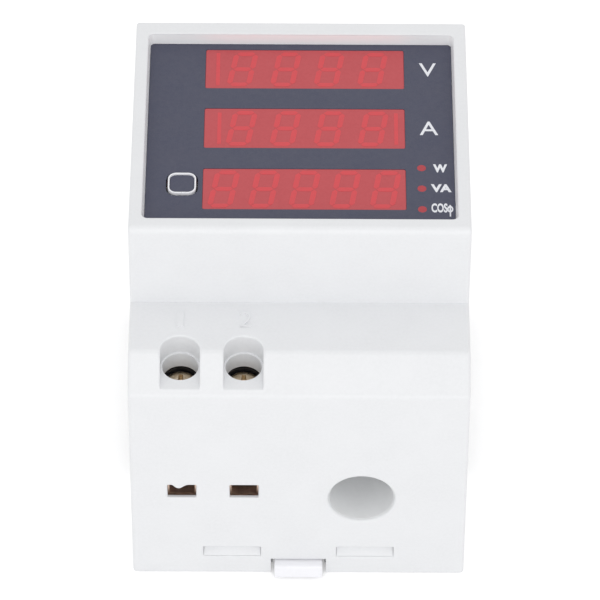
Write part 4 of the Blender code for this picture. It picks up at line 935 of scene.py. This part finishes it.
def lens_prints():
    """A dark bezel and a red print over each lamp."""
    inner, outer = DOT_DIAMETER / 2, LED_HOLE / 2 + BEZEL_OVERLAP
    barrel, top = outer - BEZEL_BRIM, PANEL_TOP + BEZEL_RISE
    bezel_profile = [(inner, top), (outer, top), (outer, PANEL_TOP), (barrel, PANEL_TOP)]
    bezel_profile += [(barrel, PANEL_FOOT), (inner, PANEL_FOOT)]
    radius, foot = inner - DOT_FIT, top - DOT_THICKNESS
    dot_profile = [(0, top), (radius, top), (radius, foot), (0, foot)]
    for index, y in enumerate(LED_YS, 1):
        bezel = revolved(f"lens_bezel_{index}", bezel_profile, (LED_X, y, 0), steps=32, ring=True)
        dress(bezel, PANEL, "case", "dark_panel")
        dot = revolved(f"lens_dot_{index}", dot_profile, (LED_X, y, 0), steps=32)
        dress(dot, RED_LENS, "case", "red_lens")


def front_panel():
    filter_sheet()
    lens_prints()
    left = WINDOWS_X - WINDOW_WIDTH / 2
    for y, (name, count, first, pitch, height, bars) in zip(WINDOW_YS, DIGIT_ROWS):
        centres = [left + first + pitch * step for step in range(count)]
        digit_row(name, y, centres, [(left + place, reach) for place, reach in bars], height)
    for name, text, x, y, width, height, boldness in MARKS:
        mark = glyphs(name, text, x, y, PANEL_TOP, width, height, boldness)
        dress(mark, INK, "case", "white_abs")
    mark_phi()


def key():
    """A white cap with a ring that stands proud round a dished dark face."""
    outline = rounded_rectangle(KEY_X, KEY_Y, KEY_WIDTH, KEY_LENGTH, KEY_CORNER, 8)
    levels = [(KEY_FOOT, 0)]
    for angle in (0, 0.5, 1, 1.57):
        height = KEY_TOP - KEY_EDGE + KEY_EDGE * math.sin(angle)
        levels.append((height, KEY_EDGE * (math.cos(angle) - 1)))
    cap = lofted("key_cap_ring", outline, levels, "Z")
    flange = rounded_rectangle(KEY_X, KEY_Y, KEY_WIDTH, KEY_LENGTH + 2 * KEY_FLANGE, KEY_CORNER)
    fuse(cap, prism("Flange", flange, (KEY_FOOT, KEY_FOOT + KEY_FLANGE_HEIGHT), "Z"))
    fuse(cap, rod("Stem", KEY_STEM_DIAMETER, KEY_X, KEY_Y, (KEY_STEM_FOOT, KEY_FOOT + BITE), 24))
    inner = grown(outline, -KEY_RING)
    levels = lip_levels(KEY_TOP - KEY_DISH_DEPTH, KEY_TOP, KEY_DISH_LIP)
    cut(cap, lofted("Dish", inner, levels, "Z"))
    dress(cap, CLIP_WHITE, "key", "white_abs", "key_cap")
    face_top = KEY_TOP - KEY_FACE_DROP
    levels = [(KEY_TOP - KEY_FACE_FOOT, 0), (face_top - KEY_FACE_EDGE, 0)]
    levels += [(face_top, -KEY_FACE_EDGE), (face_top, -KEY_FACE_FLAT)]
    face = lofted("key_face", grown(inner, -KEY_FACE_FIT), levels, "Z")
    dress(face, PANEL, "key", "dark_panel")


# Terminals, clip and the rest


def terminal_screw(index, x):
    """A golden screw with a domed head, a cross recess and turned edges."""
    head, shank, tip = 0.0025, 0.00175, 0.0228
    crown, edge, edge_drop, chamfer = 0.00028, 0.00022, 0.0005, 0.0001
    shoulder = SCREW_TOP - SCREW_HEAD_HEIGHT
    profile = [(0, SCREW_TOP)]
    profile += [(head * r, SCREW_TOP - crown * r * r) for r in (0.25, 0.5, 0.75, 0.88)]
    profile += arc((head - edge, SCREW_TOP - edge_drop), edge, 75, 0, 4)
    profile += [(head, shoulder + chamfer), (head - chamfer, shoulder), (shank, shoulder)]
    profile += [(shank, tip + shank / 2), (shank * 0.8, tip + shank / 4)]
    profile += [(shank / 2, tip), (0, tip)]
    screw = revolved(f"terminal_screw_{index}_turned", profile, (x, WELL_Y, 0), steps=64)
    arm, half, taper = 0.00155, 0.0004, 0.8
    depth, closing, mouth_depth, mouth = 0.0011, 0.00015, 0.0003, 0.00005
    points = []
    for turn in range(4):
        c, s = round(math.cos(turn * math.pi / 2)), round(math.sin(turn * math.pi / 2))
        for px, py in ((arm, -half * taper), (arm, half * taper), (half, half)):
            points.append((x + px * c - py * s, WELL_Y + px * s + py * c))
    levels = [(SCREW_TOP - depth, -closing), (SCREW_TOP - mouth_depth, 0)]
    levels.append((SCREW_TOP + OVERCUT, mouth))
    cut(screw, lofted("Cross", points, levels, "Z"))
    return dress(
        screw, GOLDEN_STEEL, f"terminal_screw_{index}", "plated_steel", f"terminal_screw_{index}"
    )


def sleeve():
    """The smooth tube from one cable hole to the other, with a nose that lines each hole."""
    half = END_Y - WALL - SLEEVE_PLAY
    tip = END_Y - CABLE_HOLE_LIP
    bore = CABLE_HOLE / 2
    nose = bore + NOSE_WALL
    profile = [(bore, tip), (nose, tip), (nose, half), (SLEEVE_RADIUS, half)]
    profile += [(r, -y) for r, y in reversed(profile)]
    tube = revolved("cable_tube", profile, (CABLE_X, 0, CABLE_Z), "Y", CABLE_STEPS, ring=True)
    dress(tube, TUBE_WHITE, "case", "white_abs", "cable_sleeve")


def spring():
    """The clip's coil, built at one fixed length; on the real meter it shortens as the clip is
    pulled out.
    """
    start, length, turns = -0.0323, 0.0074, 7
    wire, middle_z = 0.0002, 0.001825
    radius = 0.00125 - wire
    run = length - 2 * wire
    rise = run / (2 * math.pi * turns)
    steps, sides = turns * 28, 10
    bm = bmesh.new()
    rings = []
    for step in range(steps + 1):
        share = step / steps
        angle = 2 * math.pi * turns * share
        cos, sin = math.cos(angle), math.sin(angle)
        centre = Vector((radius * cos, start + wire + run * share, middle_z + radius * sin))
        tangent = Vector((-radius * sin, rise, radius * cos))
        tangent.normalize()
        outward = Vector((cos, 0, sin))
        side = tangent.cross(outward)
        rings.append([
            bm.verts.new(centre + wire * (outward * math.cos(a) + side * math.sin(a)))
            for a in (2 * math.pi * k / sides for k in range(sides))
        ])
    for low, high in zip(rings, rings[1:]):
        for k in range(sides):
            bm.faces.new((low[k - 1], low[k], high[k], high[k - 1]))
    bm.faces.new(rings[0])
    bm.faces.new(rings[-1])
    bmesh.ops.recalc_face_normals(bm, faces=bm.faces)
    coil = new_object("clip_spring_coil", bm)
    dress(coil, STEEL, "case", "plated_steel", "clip_spring", sharp=60)
    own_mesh(coil)


def snap_ramps():
    """The sloped faces of the cover's four hooks, which fill their windows up to a fine line."""
    half = SNAP_WIDTH / 2 - SNAP_FIT
    foot, top = SNAP_Z + SNAP_FIT, SNAP_Z + SNAP_HEIGHT - SNAP_FIT
    back = END_Y - WALL - GAP
    profile = [(back, foot), (END_Y - SNAP_FOOT_DROP, foot)]
    profile += [(END_Y - SNAP_TOP_DROP, top), (back, top)]
    for end_name, end in (("near", -1), ("far", 1)):
        outline = [(end * y, z) for y, z in profile]
        for side_name, side in (("left", -1), ("right", 1)):
            x = (side * SNAP_X - half, side * SNAP_X + half)
            ramp = prism(f"snap_ramp_{end_name}_{side_name}", outline, x, "X")
            dress(ramp, WHITE, "case", "white_abs")


# Name, text, x and width of each pole's numeral
NUMERALS = (
    ("numeral_1", "1", -0.0185, 0.0011),
    ("numeral_2", "2", -0.0083, 0.0019),
)


def shoulder_numerals():
    for name, text, x, width in NUMERALS:
        place = (x, NUMERAL_Y, SHOULDER_Z)
        mark = glyphs(
            name, text, *place, width, NUMERAL_HEIGHT, NUMERAL_BOLDNESS, NUMERAL_THICKNESS
        )
        dress(mark, WHITE, "case", "white_abs")


# Camera, light and floor

ELEVATION = math.radians(46)
ROLL = math.radians(0.27)
LENS = 265.7
AIM = (0.00006, -0.023, CASE_DEPTH)  # a point near the rim above the terminals
AIM_DEPTH = 0.678  # from the camera to that point, along the view
AIM_RISE = 0.01109  # of that point above the picture's middle
WORLD_LIGHT = 0.88
FLOOR_SIZE = 2
FLOOR_TONE = (0.9, 0.9, 0.9, 1)
FLOOR_GLOW = 0.3  # only for what sees the floor directly


def camera():
    """Looks down at the terminal end, a little rolled."""
    view = Vector((0, math.cos(ELEVATION), -math.sin(ELEVATION)))
    up = Vector((0, math.sin(ELEVATION), math.cos(ELEVATION)))
    right = Vector((1, 0, 0))
    place = Vector(AIM) - up * AIM_RISE - view * AIM_DEPTH
    rolled_right = right * math.cos(ROLL) + up * math.sin(ROLL)
    rolled_up = up * math.cos(ROLL) - right * math.sin(ROLL)
    turn = Matrix((rolled_right, rolled_up, -view)).transposed().to_4x4()
    data = bpy.data.cameras.new("Camera")
    data.lens = LENS
    data.sensor_width = 36
    data.clip_start = 0.01
    data.clip_end = 20
    made = bpy.data.objects.new("Camera", data)
    made.matrix_world = Matrix.Translation(place) @ turn
    bpy.context.scene.collection.objects.link(made)
    bpy.context.scene.camera = made


def lamp(name, place, size, power):
    data = bpy.data.lights.new(name, "AREA")
    data.shape = "DISK"
    data.size = size
    data.energy = power
    made = bpy.data.objects.new(name, data)
    made.location = place
    made.rotation_euler = (-Vector(place)).to_track_quat("-Z", "Y").to_euler()
    bpy.context.scene.collection.objects.link(made)


def seen_directly(tree):
    """1 for rays from the camera, from glossy and from clear surfaces, and 0 for the others."""
    path = tree.nodes.new("ShaderNodeLightPath")
    either = path.outputs["Is Camera Ray"]
    for name in ("Is Glossy Ray", "Is Transmission Ray"):
        most = tree.nodes.new("ShaderNodeMath")
        most.operation = "MAXIMUM"
        tree.links.new(either, most.inputs[0])
        tree.links.new(path.outputs[name], most.inputs[1])
        either = most.outputs[0]
    return either


def surroundings():
    """An even white world, a white floor that shows the shadow, and a soft lamp in front."""
    world = bpy.data.worlds.new("Studio")
    bpy.context.scene.world = world
    world.use_nodes = True
    tree = world.node_tree
    light = tree.nodes["Background"]
    light.inputs["Color"].default_value = (1, 1, 1, 1)
    light.inputs["Strength"].default_value = WORLD_LIGHT
    seen = tree.nodes.new("ShaderNodeBackground")
    seen.inputs["Color"].default_value = (1, 1, 1, 1)
    seen.inputs["Strength"].default_value = 1
    mix = tree.nodes.new("ShaderNodeMixShader")
    tree.links.new(seen_directly(tree), mix.inputs["Fac"])
    tree.links.new(light.outputs[0], mix.inputs[1])
    tree.links.new(seen.outputs[0], mix.inputs[2])
    tree.links.new(mix.outputs[0], tree.nodes["World Output"].inputs["Surface"])

    bm = bmesh.new()
    bmesh.ops.create_grid(bm, x_segments=1, y_segments=1, size=FLOOR_SIZE)
    floor = new_object("floor", bm)
    material = bpy.data.materials.new("floor")
    material.use_nodes = True
    tree = material.node_tree
    paint = tree.nodes["Principled BSDF"]
    paint.inputs["Base Color"].default_value = FLOOR_TONE
    paint.inputs["Roughness"].default_value = 0.9
    paint.inputs["Specular IOR Level"].default_value = 0.0
    glow = tree.nodes.new("ShaderNodeEmission")
    glow.inputs["Strength"].default_value = FLOOR_GLOW
    both = tree.nodes.new("ShaderNodeAddShader")
    mix = tree.nodes.new("ShaderNodeMixShader")
    tree.links.new(seen_directly(tree), mix.inputs["Fac"])
    tree.links.new(paint.outputs[0], both.inputs[0])
    tree.links.new(glow.outputs[0], both.inputs[1])
    tree.links.new(paint.outputs[0], mix.inputs[1])
    tree.links.new(both.outputs[0], mix.inputs[2])
    tree.links.new(mix.outputs[0], tree.nodes["Material Output"].inputs["Surface"])
    floor.data.materials.append(material)

    lamp("Front", place=(0, -1.0, 0.58), size=0.9, power=2.8)


camera()
surroundings()
dress_cad_nodes()
housing()
front_panel()
key()
for pole, pole_x in enumerate(POLE_XS, 1):
    terminal_screw(pole, pole_x)
sleeve()
spring()
snap_ramps()
shoulder_numerals()

bpy.context.scene.view_settings.view_transform = "Standard"
